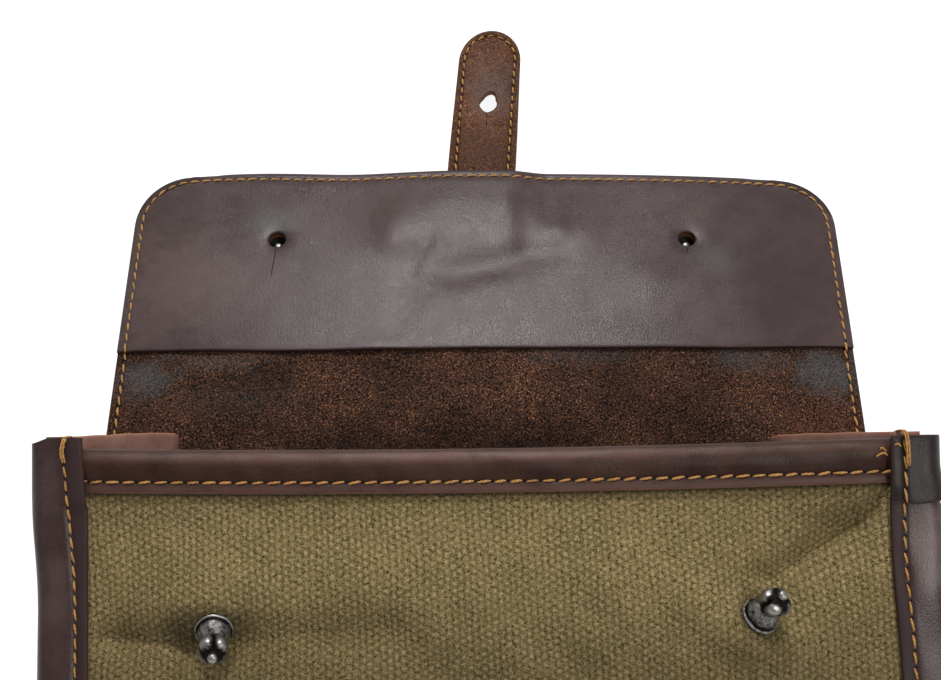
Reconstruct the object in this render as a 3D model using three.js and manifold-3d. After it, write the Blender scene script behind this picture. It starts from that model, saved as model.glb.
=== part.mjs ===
// A leather and canvas attache pouch lying on its back with the flap laid open.
// Millimetres, +X to the right of the front, +Y from the bottom seam to the flap's free edge, +Z up.
import * as THREE from "three";
import { mergeVertices } from "three/addons/utils/BufferGeometryUtils.js";
import Module from "manifold-3d";

const wasm = await Module();
wasm.setup();

// Driving sizes
const frontWidth = 254;
const frontHeight = 164.5;
const frontSlope = 28 * Math.PI / 180;
const frontBulge = 5;
const frontSkew = 0.012;
const flapWidth = 264;
const flapLength = 136.5;
const flapCorner = 20;
const flapBow = 6;
const facingDepth = 76;
const tabWidth = 26;
const tabReach = 68.3;
const tabLap = 30;
const tabLean = 0.065;
const tabTaper = 0.3;
const tabRise = 0.07;
const tabStudDrop = 111;
const keyholeFromEdge = 29.5;
const keyholeRadius = 3.4;
const keyholeSlit = 9.5;
const tabHoleFromEdge = 33;
const tabHoleRadius = 3.7;
const tabHoleSlit = 10;
const capRadius = 9.4;
const hemFace = 11.5;
const bindingFace = 13.5;
const bindingBack = 8;
const endCapLength = 18;

// Thicknesses, and the space left between pieces
const leather = 2.4;
const facingLeather = 1.6;
const tabLeather = 2.6;
const canvas = 1.8;
const trim = 1.6;
const gap = 0.3;

// Places that follow from the sizes, measured from the fold between back and flap
const bottomY = -frontHeight;
const seamLift = trim + gap;
const frontRise = seamLift + leather + 2 * trim + 4 * gap + 0.3;
const facingEdge = flapLength - facingDepth;
const keyholeY = flapLength - keyholeFromEdge;
const tabX = -1.2;
const tabTip = flapLength + tabReach;
const trimLevel = canvas + gap + trim / 2;
const flangeLevel = -gap - trim / 2;
const innerLeafLevel = -2 * gap - 1.5 * trim;
const bindingTurn = (trimLevel - innerLeafLevel) / 2;
const sideEdge = frontWidth / 2 - trim / 2 - bindingTurn;
const seamReach = 6;
const partMiddle = (bottomY - seamReach - trim / 2 + tabTip) / 2;

// Bumps and dents of the flap and its facing: a line between two points, its half width and its height
const flapDents = [
  { x0: -33, y0: 108, x1: -30, y1: 112, width: 13, height: 1.3 },
  { x0: 29, y0: 108, x1: 32, y1: 111, width: 13, height: 1.3 },
  { x0: -14, y0: 86, x1: 28, y1: 100, width: 7, height: -1.1 },
  { x0: -18, y0: 102, x1: -30, y1: 71, width: 6, height: -0.8 },
  { x0: 62, y0: 86, x1: 96, y1: 84, width: 12, height: 0.8 },
];

// Folds of the canvas, measured up the front from its bottom edge
const frontFolds = [
  { x0: 112, y0: 152, x1: 92, y1: 132, width: 8, height: -3.2 },
  { x0: -114, y0: 119, x1: -92, y1: 116, width: 8, height: -3 },
  { x0: -60, y0: 128, x1: 30, y1: 134, width: 18, height: 1.6 },
  { x0: 24, y0: 86, x1: 66, y1: 104, width: 10, height: -1.6 },
];

// Studs: place across, distance below the front's top edge, and how the cloth that they pull rises
// to the right and upwards
const studs = [
  { name: "stud_left", x: -76.1, drop: 49.2, leanX: -0.25, leanY: 0.58 },
  { name: "stud_right", x: 75, drop: 48.4, leanX: -0.4, leanY: -0.72 },
].map((row) => ({ ...row, y: frontHeight - row.drop }));

// Keyholes of the flap, each with a cup behind it
const keyholes = [
  { cup: "flap_cap_left", x: -77 },
  { cup: "flap_cap_right", x: 75 },
];

// Gussets: side, how far the fold reaches in at the mouth, how far its ear and its front edge stand past
// the front's height
const gussets = [
  { name: "gusset_left", side: -1, reach: 30, ear: 14.2, top: 6.2 },
  { name: "gusset_right", side: 1, reach: 38, ear: 12.4, top: 4.2 },
];

// Shape helpers
const smooth = (from, to, t) => {
  const k = THREE.MathUtils.clamp((t - from) / (to - from), 0, 1);
  return k * k * (3 - 2 * k);
};
const spread = (from, to, steps) =>
  Array.from({ length: steps + 1 }, (_, i) => from + (to - from) * i / steps);
const vec = (x, y, z) => new THREE.Vector3(x, y, z);

// Height added at a point by a table of bumps and dents
function relief(table, x, y) {
  return table.reduce((sum, { x0, y0, x1, y1, width, height }) => {
    const run = (x1 - x0) ** 2 + (y1 - y0) ** 2;
    const k = THREE.MathUtils.clamp(((x - x0) * (x1 - x0) + (y - y0) * (y1 - y0)) / run, 0, 1);
    const away = Math.hypot(x - x0 - k * (x1 - x0), y - y0 - k * (y1 - y0));
    return sum + height * Math.exp(-((away / width) ** 2));
  }, 0);
}

// Grid lines over a span, closer together round the given centres
function linesNear(from, to, steps, centres, fine) {
  const near = centres.flatMap((c) => spread(c - 2 * fine, c + 2 * fine, 4));
  const far = spread(from, to, steps).filter((t) => centres.every((c) => Math.abs(t - c) > 2.6 * fine));
  return [...near, ...far].sort((a, b) => a - b);
}

// A line through corner points with each inner corner rounded, as points
function rounded(corners, reach, steps) {
  const out = [corners[0]];
  for (let i = 1; i < corners.length - 1; i++) {
    const [before, at, after] = [corners[i - 1], corners[i], corners[i + 1]];
    const back = Math.min(reach, 0.45 * at.distanceTo(before));
    const on = Math.min(reach, 0.45 * at.distanceTo(after));
    const start = at.clone().addScaledVector(before.clone().sub(at).normalize(), back);
    const end = at.clone().addScaledVector(after.clone().sub(at).normalize(), on);
    out.push(...new THREE.QuadraticBezierCurve3(start, at, end).getPoints(steps));
  }
  return [...out, corners.at(-1)];
}

function closedMesh(positions, index) {
  const geometry = new THREE.BufferGeometry();
  geometry.setAttribute("position", new THREE.Float32BufferAttribute(positions, 3));
  let volume = 0;
  const at = (i) => new THREE.Vector3().fromArray(positions, 3 * i);
  for (let i = 0; i < index.length; i += 3) {
    volume += at(index[i]).dot(at(index[i + 1]).cross(at(index[i + 2])));
  }
  if (volume < 0) {
    for (let i = 0; i < index.length; i += 3) {
      [index[i + 1], index[i + 2]] = [index[i + 2], index[i + 1]];
    }
  }
  geometry.setIndex(index);
  return geometry;
}

// A closed wall of even thickness about a middle surface given as rows of points
function wall(rows, thickness) {
  const down = rows.length;
  const across = rows[0].length;
  const positions = [];
  const index = [];
  const step = (a, b) => b.clone().sub(a).normalize();
  for (const half of [thickness / 2, -thickness / 2]) {
    rows.forEach((row, j) => row.forEach((point, i) => {
      const along = vec(0, 0, 0);
      const over = vec(0, 0, 0);
      if (i > 0) along.add(step(row[i - 1], point));
      if (i < across - 1) along.add(step(point, row[i + 1]));
      if (j > 0) over.add(step(rows[j - 1][i], point));
      if (j < down - 1) over.add(step(point, rows[j + 1][i]));
      positions.push(...point.clone().addScaledVector(along.cross(over).normalize(), half).toArray());
    }));
  }
  const top = (i, j) => j * across + i;
  const under = (i, j) => down * across + top(i, j);
  const quad = (a, b, c, d) => index.push(a, b, c, a, c, d);
  for (let j = 0; j < down - 1; j++) {
    for (let i = 0; i < across - 1; i++) {
      quad(top(i, j), top(i + 1, j), top(i + 1, j + 1), top(i, j + 1));
      quad(under(i, j), under(i, j + 1), under(i + 1, j + 1), under(i + 1, j));
    }
    quad(top(0, j), top(0, j + 1), under(0, j + 1), under(0, j));
    quad(top(across - 1, j + 1), top(across - 1, j), under(across - 1, j), under(across - 1, j + 1));
  }
  for (let i = 0; i < across - 1; i++) {
    quad(top(i + 1, 0), top(i, 0), under(i, 0), under(i + 1, 0));
    quad(top(i, down - 1), top(i + 1, down - 1), under(i + 1, down - 1), under(i, down - 1));
  }
  return closedMesh(positions, index);
}

// A turned body on Z from rows of radius and height, its rings waved into lobes where a row says so
function turned(profile, sides, lobes = 0) {
  const rings = profile.filter((row) => row.r > 0);
  const positions = [0, 0, profile[0].h];
  for (const { r, h, lobe = 0 } of rings) {
    for (let i = 0; i < sides; i++) {
      const turn = 2 * Math.PI * i / sides;
      const reach = r * (1 + lobe * Math.cos(lobes * turn));
      positions.push(reach * Math.cos(turn), reach * Math.sin(turn), h);
    }
  }
  positions.push(0, 0, profile.at(-1).h);
  const last = positions.length / 3 - 1;
  const at = (ring, i) => 1 + ring * sides + i % sides;
  const index = [];
  for (let i = 0; i < sides; i++) {
    index.push(0, at(0, i + 1), at(0, i));
    for (let ring = 0; ring < rings.length - 1; ring++) {
      index.push(at(ring, i), at(ring, i + 1), at(ring + 1, i + 1));
      index.push(at(ring, i), at(ring + 1, i + 1), at(ring + 1, i));
    }
    index.push(last, at(rings.length - 1, i), at(rings.length - 1, i + 1));
  }
  return closedMesh(positions, index);
}

function rod(radius, from, to) {
  return turned([{ r: 0, h: from }, { r: radius, h: from }, { r: radius, h: to }, { r: 0, h: to }], 24);
}

function solid(geometry) {
  const bare = new THREE.BufferGeometry();
  bare.setAttribute("position", geometry.getAttribute("position"));
  bare.setIndex(geometry.getIndex());
  const merged = mergeVertices(bare, 1e-4);
  return new wasm.Manifold(new wasm.Mesh({
    numProp: 3,
    vertProperties: new Float32Array(merged.getAttribute("position").array),
    triVerts: new Uint32Array(merged.getIndex().array),
  }));
}

function cut(geometry, tools) {
  const body = tools.reduce((whole, tool) => whole.subtract(solid(tool)), solid(geometry));
  const { vertProperties, triVerts } = body.getMesh();
  return closedMesh(Array.from(vertProperties), Array.from(triVerts));
}

const slit = (x, from, to) => new THREE.BoxGeometry(0.7, to - from, 40).translate(x, (from + to) / 2, 0);

// Pieces
const pouch = new THREE.Group();
pouch.name = "attache_pouch";
pouch.position.y = -partMiddle;
const front = new THREE.Group();
front.position.set(0, bottomY, frontRise);
front.rotation.x = frontSlope;
pouch.add(front);

// The front leans a little out of square: its right side reaches higher than its left
const skewed = (x, y) => y + frontSkew * x * y / frontHeight;

function piece(name, geometry, colour, parent = pouch, roughness = 0.7, metalness = 0) {
  const place = geometry.getAttribute("position");
  if (parent === front) {
    for (let i = 0; i < place.count; i++) place.setY(i, skewed(place.getX(i), place.getY(i)));
  }
  geometry.computeVertexNormals();
  const look = new THREE.MeshStandardMaterial({ color: colour, roughness, metalness });
  const mesh = new THREE.Mesh(geometry, look);
  mesh.name = name;
  parent.add(mesh);
  return mesh;
}

// Back and flap: flat under the body, lifted over the bottom binding, bowed up across the flap
const halfWidth = (y) => {
  const narrower = (flapWidth - frontWidth) / 2 * Math.min(0, y / frontHeight);
  const straight = flapWidth / 2 + narrower;
  const into = Math.max(0, y - (flapLength - flapCorner));
  return straight - flapCorner + Math.sqrt(flapCorner ** 2 - Math.min(into, flapCorner) ** 2);
};
const backLift = (y) => seamLift * smooth(bottomY + 34, bottomY + 17, y);
const flapLift = (x, y) => {
  const across = Math.abs(2 * x / flapWidth);
  const bow = flapBow * (1 - across ** 4);
  return backLift(y) + smooth(0, 45, y) * (bow + smooth(0.97, 0.8, across) * relief(flapDents, x, y));
};
const edgeRounding = 1.2;
const leftCornerReach = 2.4;
const flapEdge = (across, y) => {
  const further = edgeRounding * (1 - across ** 2) + leftCornerReach * smooth(-0.35, -0.85, across);
  return y + smooth(flapLength - 40, flapLength, y) * further;
};

const tabSides = [tabX - tabWidth / 2, tabX + tabWidth / 2].map((x) => 2 * x / flapWidth);
const flapColumns = linesNear(-1, 1, 13, tabSides, 10 / flapWidth);
function flapRows(ys, level) {
  return ys.map((y) => flapColumns.map((across) => {
    const x = across * halfWidth(y);
    const reach = flapEdge(across, y);
    return vec(x, reach, level(x, reach));
  }));
}
const cornerYs = [0.4, 0.7, 0.9, 1].map((k) => flapLength - flapCorner * (1 - k));
const seamYs = [bottomY + 2, ...spread(bottomY + 15, bottomY + 36, 3)];
const backYs = [...seamYs, bottomY + 80];
const facingYs = [...spread(facingEdge, flapLength - flapCorner, 7), ...cornerYs];
const flapYs = [...spread(0, facingEdge, 4).slice(0, -1), ...facingYs];

const keyholeCuts = keyholes.flatMap(({ x }) => [
  rod(keyholeRadius, -20, 30).translate(x, keyholeY, 0),
  slit(x, keyholeY - keyholeSlit, keyholeY),
]);
const backSheet = wall(flapRows([...backYs, ...flapYs], (x, y) => flapLift(x, y) + leather / 2), leather);
piece("back_and_flap", cut(backSheet, keyholeCuts), 0x4a3026);

// Facing: follows the flap and rises over the tab's held end
const overTab = (x, y) => {
  const beside = smooth(13, 3, Math.abs(x - tabX) - tabWidth / 2);
  const past = smooth(22, 6, flapLength - tabLap - y);
  return (tabLeather + gap) * beside * past;
};
const facingLevel = (x, y) => flapLift(x, y) + leather + gap + facingLeather / 2 + overTab(x, y);
piece("flap_facing", cut(wall(flapRows(facingYs, facingLevel), facingLeather), keyholeCuts), 0x5d5252);

// Tab: level between flap and facing, then rising a little to a rounded tip
const tabRound = 15;
const tabHalf = (y) => {
  const into = Math.max(0, y - (tabTip - tabRound)) / (tabRound + 0.15);
  return (tabWidth / 2 - tabTaper * smooth(flapLength, tabTip, y)) * Math.sqrt(1 - into ** 2);
};
const tabMiddle = (y) => tabX + tabLean * (y - flapLength);
const tabLevel = (x, y) => {
  const held = flapLift(x, Math.min(y, flapLength)) + leather + gap + tabLeather / 2;
  return held + tabRise * Math.max(0, y - flapLength);
};
const tabYs = [
  ...spread(flapLength - tabLap, flapLength, 5),
  ...spread(flapLength + 6, tabTip - tabRound, 6),
  ...[0.3, 0.55, 0.75, 0.9, 1].map((k) => tabTip - tabRound * (1 - k)),
];
const tabRows = tabYs.map((y) => spread(-1, 1, 6).map((across) => {
  const x = tabMiddle(y) + across * tabHalf(y);
  return vec(x, y, tabLevel(x, y));
}));
const tabHoleY = flapLength + tabHoleFromEdge;
const tabHoleX = tabMiddle(tabHoleY) + 0.5;
const tabHole = rod(tabHoleRadius, -20, 40).scale(0.95, 1.15, 1).translate(tabHoleX, tabHoleY, 0);
const tabCuts = [tabHole, slit(tabHoleX, tabHoleY - tabHoleSlit, tabHoleY)];
piece("closing_tab", cut(wall(tabRows, tabLeather), tabCuts), 0x5c4236);

// Metal cups behind the keyholes, standing on the ground under the flap
const cupHeight = flapLift(keyholes[0].x - capRadius, keyholeY) - gap;
const cup = [
  { r: 0, k: 0 }, { r: 3, k: 0 }, { r: 6.2, k: 0.2 }, { r: 8.5, k: 0.7 }, { r: capRadius, k: 0.8 },
  { r: capRadius, k: 1 }, { r: 8, k: 1 }, { r: 6.6, k: 0.5 }, { r: 3.6, k: 0.26 }, { r: 0, k: 0.2 },
].map(({ r, k }) => ({ r, h: k * cupHeight }));
for (const { cup: name, x } of keyholes) {
  piece(name, turned(cup, 16).translate(x, keyholeY, 0), 0x9c9a94, pouch, 0.35, 1);
}

// Front canvas: a shallow bulge with folds, leaning where the studs pull it
function clothLevel(x, y) {
  const side = Math.abs(x);
  const hemEdge = frontHeight - hemFace - 1;
  const inside = smooth(sideEdge - 8, 60, side) * smooth(14, 60, y) * smooth(hemEdge, frontHeight - 45, y);
  const clear = smooth(sideEdge - 9, sideEdge - 20, side);
  const edge = clear * smooth(15, 24, y) * smooth(hemEdge, hemEdge - 11, y);
  let leaning = 0;
  let flat = 1;
  for (const stud of studs) {
    const away = Math.hypot(x - stud.x, y - stud.y);
    leaning += (stud.leanX * (x - stud.x) + stud.leanY * (y - stud.y)) * smooth(24, 9, away);
    flat *= smooth(7, 26, away);
  }
  return frontBulge * inside + edge * (leaning + flat * relief(frontFolds, x, y));
}
const clothXs = linesNear(-sideEdge, sideEdge, 19, studs.map((s) => s.x), 4.5);
const clothYs = linesNear(1.5, frontHeight - 2.6, 12, [studs[0].y], 4.5);
const cloth = wall(clothYs.map((y) => clothXs.map((x) => vec(x, y, canvas / 2 + clothLevel(x, y)))), canvas);

// A stud's place on the cloth: its foot and the way that it points
function seat(x, y) {
  const rise = (dx, dy) => (clothLevel(x + dx, y + dy) - clothLevel(x - dx, y - dy)) / 2;
  const out = vec(-rise(1, 0), -rise(0, 1), 1).normalize();
  return new THREE.Matrix4().compose(
    vec(x, y, canvas / 2 + clothLevel(x, y)).addScaledVector(out, canvas / 2),
    new THREE.Quaternion().setFromUnitVectors(vec(0, 0, 1), out),
    vec(1, 1, 1),
  );
}
const tabStud = { name: "stud_tab", x: 0, y: frontHeight - tabStudDrop };
const stem = [
  { r: 0, h: -3.6 }, { r: 3.4, h: -3.6 }, { r: 3.4, h: -2.5 }, { r: 1.4, h: -2.5 }, { r: 1.4, h: 0.5 },
];
const lobedHead = [
  { r: 5.4, h: 0.5 }, { r: 5.4, h: 1.2 }, { r: 5, h: 1.6 }, { r: 4.7, h: 2.6 }, { r: 4, h: 4.2 },
  { r: 2.9, h: 5.7 }, { r: 2.3, h: 6.6 }, { r: 3, h: 7.3, lobe: 0.09 }, { r: 3.7, h: 8.5, lobe: 0.16 },
  { r: 3.8, h: 9.9, lobe: 0.2 }, { r: 3.1, h: 11.2, lobe: 0.2 },
  { r: 1.6, h: 11.8, lobe: 0.1 }, { r: 1.3, h: 12.4 }, { r: 1.4, h: 13.3 }, { r: 0, h: 14.1 },
];
const plainHead = [
  { r: 5, h: 0.5 }, { r: 5, h: 1.4 }, { r: 2.2, h: 2.4 }, { r: 1.8, h: 4.4 }, { r: 2.9, h: 5.4 },
  { r: 3.5, h: 7.2 }, { r: 2.8, h: 9 }, { r: 1.4, h: 9.9 }, { r: 0, h: 10.1 },
];
const stemHoles = [...studs, tabStud].map(({ x, y }) => rod(1.9, -8, 8).applyMatrix4(seat(x, y)));
piece("front_panel", cut(cloth, stemHoles), 0x7b6b4b, front);
for (const { name, x, y } of studs) {
  const lobed = turned([...stem, ...lobedHead], 24, 4);
  piece(name, lobed.applyMatrix4(seat(x, y)), 0xa8a49c, front, 0.35, 1);
}
const plain = turned([...stem, ...plainHead], 16);
piece(tabStud.name, plain.applyMatrix4(seat(tabStud.x, tabStud.y)), 0xa8a49c, front, 0.35, 1);

// Hem: rolled over the front's top edge, distances down from the top and out from the cloth's inner face
const hemRoll = [
  { down: hemFace, out: trimLevel }, { down: 9.5, out: trimLevel }, { down: 5.5, out: trimLevel + 0.5 },
  { down: 2.2, out: trimLevel + 0.5 }, { down: 0.1, out: 2 }, { down: 0.1, out: 0 }, { down: 2.2, out: -1.8 },
  { down: 5.5, out: -1.7 }, { down: 8.5, out: flangeLevel }, { down: 12, out: flangeLevel },
];
const hemHalf = frontWidth / 2 - bindingFace - gap;
const hemPoints = hemRoll.map(({ down, out }) => vec(0, frontHeight - down, out));
const hemLine = new THREE.CatmullRomCurve3(hemPoints).getPoints(14);
const hemRows = spread(-hemHalf, hemHalf, 6).map((x) => hemLine.map((p) => vec(x, p.y, p.z)));
piece("front_hem", wall(hemRows, trim), 0x5a3f39, front);

// Side bindings: one leaf on the cloth, round the edge, one leaf behind the gusset's flange
function foldLine(outerFace, innerFace, spare, side) {
  const turn = bindingTurn + spare;
  const middle = (trimLevel + innerLeafLevel) / 2;
  const arc = spread(Math.PI / 2, -Math.PI / 2, 8)
    .map((a) => [sideEdge + turn * Math.cos(a), middle + turn * Math.sin(a)]);
  const outerEnd = [frontWidth / 2 - outerFace, trimLevel + spare];
  const innerEnd = [frontWidth / 2 - innerFace, innerLeafLevel - spare];
  return [outerEnd, ...arc, innerEnd].map(([x, z]) => [side * x, z]);
}
const fold = (line, ys, thickness) => wall(ys.map((y) => line.map(([x, z]) => vec(x, y, z))), thickness);
const bindings = [
  { name: "binding_left", side: -1, top: 3.4 },
  { name: "binding_right", side: 1, top: 0.8 },
];
for (const { name, side, top } of bindings) {
  const line = foldLine(bindingFace, bindingBack, 0, side);
  piece(name, fold(line, spread(16, frontHeight + top, 4), trim), 0x3f3535, front);
}
const endCapLeather = 1.2;
const endCapLine = foldLine(bindingFace, bindingBack, (trim + endCapLeather) / 2 + gap, 1);
const endCapYs = spread(frontHeight - endCapLength, frontHeight + 1.6, 3);
piece("binding_end_right", fold(endCapLine, endCapYs, endCapLeather), 0x352e2e, front);

// Bottom binding: under the back, round the seam and up on the cloth
front.updateMatrix();
const onFront = (x, y, z) => vec(x, skewed(x, y), z).applyMatrix4(front.matrix);
const seamCorners = (x) => [
  vec(x, bottomY + 14.5, trim / 2),
  vec(x, bottomY - seamReach, trim / 2),
  vec(x, bottomY - seamReach, frontRise + 0.6),
  onFront(x, 15.4, trimLevel),
];
const seamRows = spread(-frontWidth / 2, frontWidth / 2, 4).map((x) => rounded(seamCorners(x), 4, 4));
piece("binding_bottom", wall(seamRows, trim), 0x3f3535);

// Gussets: a flange on the front, a fold reaching inwards, a flange on the back
function gussetLine({ side, reach, ear, top }, backY) {
  const up = backY - bottomY;
  const k = up / frontHeight;
  const frontUp = up + top * k ** 6;
  const backZ = backLift(backY) + leather + gap + trim / 2;
  const bisector = frontSlope / 2;
  const over = vec(0, -Math.sin(bisector), Math.cos(bisector)).multiplyScalar(1.3 + 2.7 * k);
  const frontBend = onFront(side * (frontWidth / 2 - bindingBack - 3.5), frontUp, flangeLevel);
  const backBend = vec(side * (halfWidth(backY) - 14), backY, backZ);
  const crease = frontBend.clone().add(backBend).multiplyScalar(0.5);
  crease.x = side * (frontWidth / 2 - 21 - (reach - 21) * smooth(0, 1.1, k));
  crease.addScaledVector(vec(0, Math.cos(bisector), Math.sin(bisector)), ear * k ** 3);
  const corners = [
    onFront(side * sideEdge, frontUp, flangeLevel), frontBend,
    crease.clone().add(over), crease.clone().sub(over),
    backBend, vec(side * (halfWidth(backY) - gap), backY, backZ),
  ];
  return rounded(corners, 5, 3);
}
const gussetYs = [...seamYs, ...spread(bottomY + 56, -1.4, 5)];
for (const row of gussets) {
  piece(row.name, wall(gussetYs.map((y) => gussetLine(row, y)), trim), 0x6e4f45);
}

export default pouch;
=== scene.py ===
import bmesh
import bpy
import numpy as np
from mathutils import Matrix, Vector


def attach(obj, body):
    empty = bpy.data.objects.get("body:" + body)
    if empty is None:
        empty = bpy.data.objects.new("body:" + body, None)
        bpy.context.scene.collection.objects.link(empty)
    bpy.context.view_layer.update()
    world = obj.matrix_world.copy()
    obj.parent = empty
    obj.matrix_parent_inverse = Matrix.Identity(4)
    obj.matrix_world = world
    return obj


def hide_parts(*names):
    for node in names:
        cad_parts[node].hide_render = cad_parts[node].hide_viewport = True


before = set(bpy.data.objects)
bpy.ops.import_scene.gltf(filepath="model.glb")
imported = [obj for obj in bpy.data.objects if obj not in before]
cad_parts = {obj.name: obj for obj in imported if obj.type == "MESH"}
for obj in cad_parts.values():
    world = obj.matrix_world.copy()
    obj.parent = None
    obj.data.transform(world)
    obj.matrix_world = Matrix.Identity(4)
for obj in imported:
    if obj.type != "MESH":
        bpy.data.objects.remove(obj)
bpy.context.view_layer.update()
mm = 0.001

# Sizes shared by all pieces, in mm: x across, y from the bottom seam to the flap's edge with 0 at the fold,
# z up. The row frame's origin is at y = middle, half way along the solids
pouch = {
    "frontWidth": 254, "frontHeight": 164.5, "frontSlope": 28, "frontSkew": 0.012, "frontRise": 9.0,
    "frontBulge": 5, "flapWidth": 264, "flapLength": 136.5, "flapCorner": 20, "flapBow": 6,
    "facingDepth": 76, "hemHalf": 115.5, "hemSag": 1.45, "middle": 16.75, "leather": 2.4, "facing": 1.6,
    "tab": 2.6, "canvas": 1.8, "trim": 1.6, "gap": 0.3
}
frontHalf, flapHalf = pouch["frontWidth"] / 2, pouch["flapWidth"] / 2
frontHeight, flapLength, flapCorner = pouch["frontHeight"], pouch["flapLength"], pouch["flapCorner"]
hemHalf = pouch["hemHalf"]
leather, facing, tabThick = pouch["leather"], pouch["facing"], pouch["tab"]
canvas, trim, gap = pouch["canvas"], pouch["trim"], pouch["gap"]
slopeSin, slopeCos = np.sin(np.radians(pouch["frontSlope"])), np.cos(np.radians(pouch["frontSlope"]))
bottomY, facingEdge = -frontHeight, flapLength - pouch["facingDepth"]
trimLevel, flangeLevel, leafLevel = canvas + gap + trim / 2, -gap - trim / 2, -2 * gap - 1.5 * trim
bindingTurn = (trimLevel - leafLevel) / 2
sideEdge = frontHalf - trim / 2 - bindingTurn


# Eases from 0 at start to 1 at end along 3k² - 2k³
def smooth(start, end, t):
    k = np.clip((np.asarray(t, float) - start) / (end - start), 0, 1)
    return k * k * (3 - 2 * k)


# Sum of bumps: each row is a line (x0, y0, x1, y1) whose height fades as exp(-(distance / width)²)
def relief(rows, x, y):
    total = 0
    for x0, y0, x1, y1, width, height in rows:
        k = np.clip(((x - x0) * (x1 - x0) + (y - y0) * (y1 - y0)) / ((x1 - x0) ** 2 + (y1 - y0) ** 2), 0, 1)
        away = np.hypot(x - x0 - k * (x1 - x0), y - y0 - k * (y1 - y0))
        total = total + height * np.exp(-(away / width) ** 2)
    return total


# Soft unevenness: a sum of sines in random directions with wavelengths near size
def ripples(x, y, size, seed):
    rng = np.random.default_rng(seed)
    total = 0
    for turn, phase, wave in zip(
        rng.uniform(0, 2 * np.pi, 16), rng.uniform(0, 2 * np.pi, 16), size * rng.uniform(0.7, 1.7, 16)
    ):
        total = total + np.sin((x * np.cos(turn) + y * np.sin(turn)) * 2 * np.pi / wave + phase)
    return total / 2.8


# Grid lines about step apart, with close lines at both ends and at the extra places
def gridLines(start, end, step, extra=()):
    lips = np.array([0, 0.12, 0.35, 0.75])
    special = np.concatenate([start + lips, end - lips, *extra])
    even = np.linspace(start, end, int(round((end - start) / step)) + 1)
    even = even[np.abs(even[:, None] - special).min(1) > 0.45 * step]
    return np.unique(np.round(np.concatenate([special, even]), 4))


# Lines through corner points, one line per row, with each inner corner rounded by a quadratic curve
def roundedLines(corners, reach, bendSteps, flatSteps):
    legs = np.linalg.norm(np.diff(corners, axis=1), axis=2, keepdims=True)
    ways = np.diff(corners, axis=1) / legs
    bends = [corners[:, :1]]
    for i in range(1, corners.shape[1] - 1):
        start = corners[:, i] - ways[:, i - 1] * np.minimum(reach, 0.45 * legs[:, i - 1])
        end = corners[:, i] + ways[:, i] * np.minimum(reach, 0.45 * legs[:, i])
        t = np.linspace(0, 1, bendSteps + 1)[None, :, None]
        bends.append(
            (1 - t) ** 2 * start[:, None] + 2 * t * (1 - t) * corners[:, i][:, None] + t ** 2 * end[:, None]
        )
    bends.append(corners[:, -1:])
    out = [bends[0]]
    for before, after, steps in zip(bends, bends[1:], flatSteps):
        t = np.linspace(0, 1, steps + 1)[None, 1:-1, None]
        out += [before[:, -1:] * (1 - t) + after[:, :1] * t, after]
    return np.concatenate(out, axis=1)


# A smooth line through points (Catmull-Rom): each span is a cubic, and its slope at a point is half the
# step between that point's neighbours
def smoothLine(points, steps):
    p = np.asarray(points, float)
    p = np.vstack([2 * p[0] - p[1], p, 2 * p[-1] - p[-2]])
    t = np.linspace(0, 1, steps, endpoint=False)[None, :, None]
    a, b, c, d = (p[i:len(p) - 3 + i, None] for i in range(4))
    line = b + 0.5 * t * (c - a + t * (2 * a - 5 * b + 4 * c - d + t * (3 * (b - c) + d - a)))
    return np.vstack([line.reshape(-1, p.shape[1]), p[-2]])


# Distance run along a line of points
def runAlong(line):
    return np.concatenate([[0], np.cumsum(np.linalg.norm(np.diff(line, axis=0), axis=1))])


# Distance run along each row of a grid of points
def runAcross(grid):
    steps = np.linalg.norm(np.diff(grid, axis=1), axis=2)
    return np.concatenate([np.zeros((len(grid), 1)), np.cumsum(steps, axis=1)], 1)


# The asked pitch, lengthened so that whole stitches fill the length
def evenPitch(length, pitch):
    return length / int(length // pitch)


# How far each side is pulled and swings back, the heights it turns between, and where the foot begins
frontLook = {
    "pulls": {-1: 1.7, 1: 2.2}, "swings": {-1: 2.3, 1: 1.27}, "turns": {-1: (172, 118), 1: (142, 90)},
    "foot": 84
}


# The front pulls to the left at its top and to the right below, and not at its foot. Each side goes from
# 1 - swing to 1 as it eases between its turns, and the left side turns higher up than the right side
def frontPull(x, s):
    share = (1 + x / frontHalf) / 2
    total = 0
    for side, part in ((-1, 1 - share), (1, share)):
        swing = frontLook["swings"][side]
        bend = swing * smooth(*frontLook["turns"][side], s) - (swing - 1) - smooth(frontLook["foot"], 0, s)
        total = total + frontLook["pulls"][side] * bend * part
    return total


# The hem hangs lower at its middle, by a parabola that is 0 at both ends
def hemSag(x):
    return pouch["hemSag"] - x * x * (pouch["hemSag"] / pouch["hemHalf"] ** 2)


# Points of the leaning front: x across, s up the front, n out of it
def onFront(x, s, n):
    x, s, n = np.broadcast_arrays(np.asarray(x, float), s, n)
    up = s + pouch["frontSkew"] * x * s / frontHeight
    along = bottomY + up * slopeCos - n * slopeSin
    height = pouch["frontRise"] + up * slopeSin + n * slopeCos
    return np.stack([x + frontPull(x, s), along, height], -1)


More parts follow.
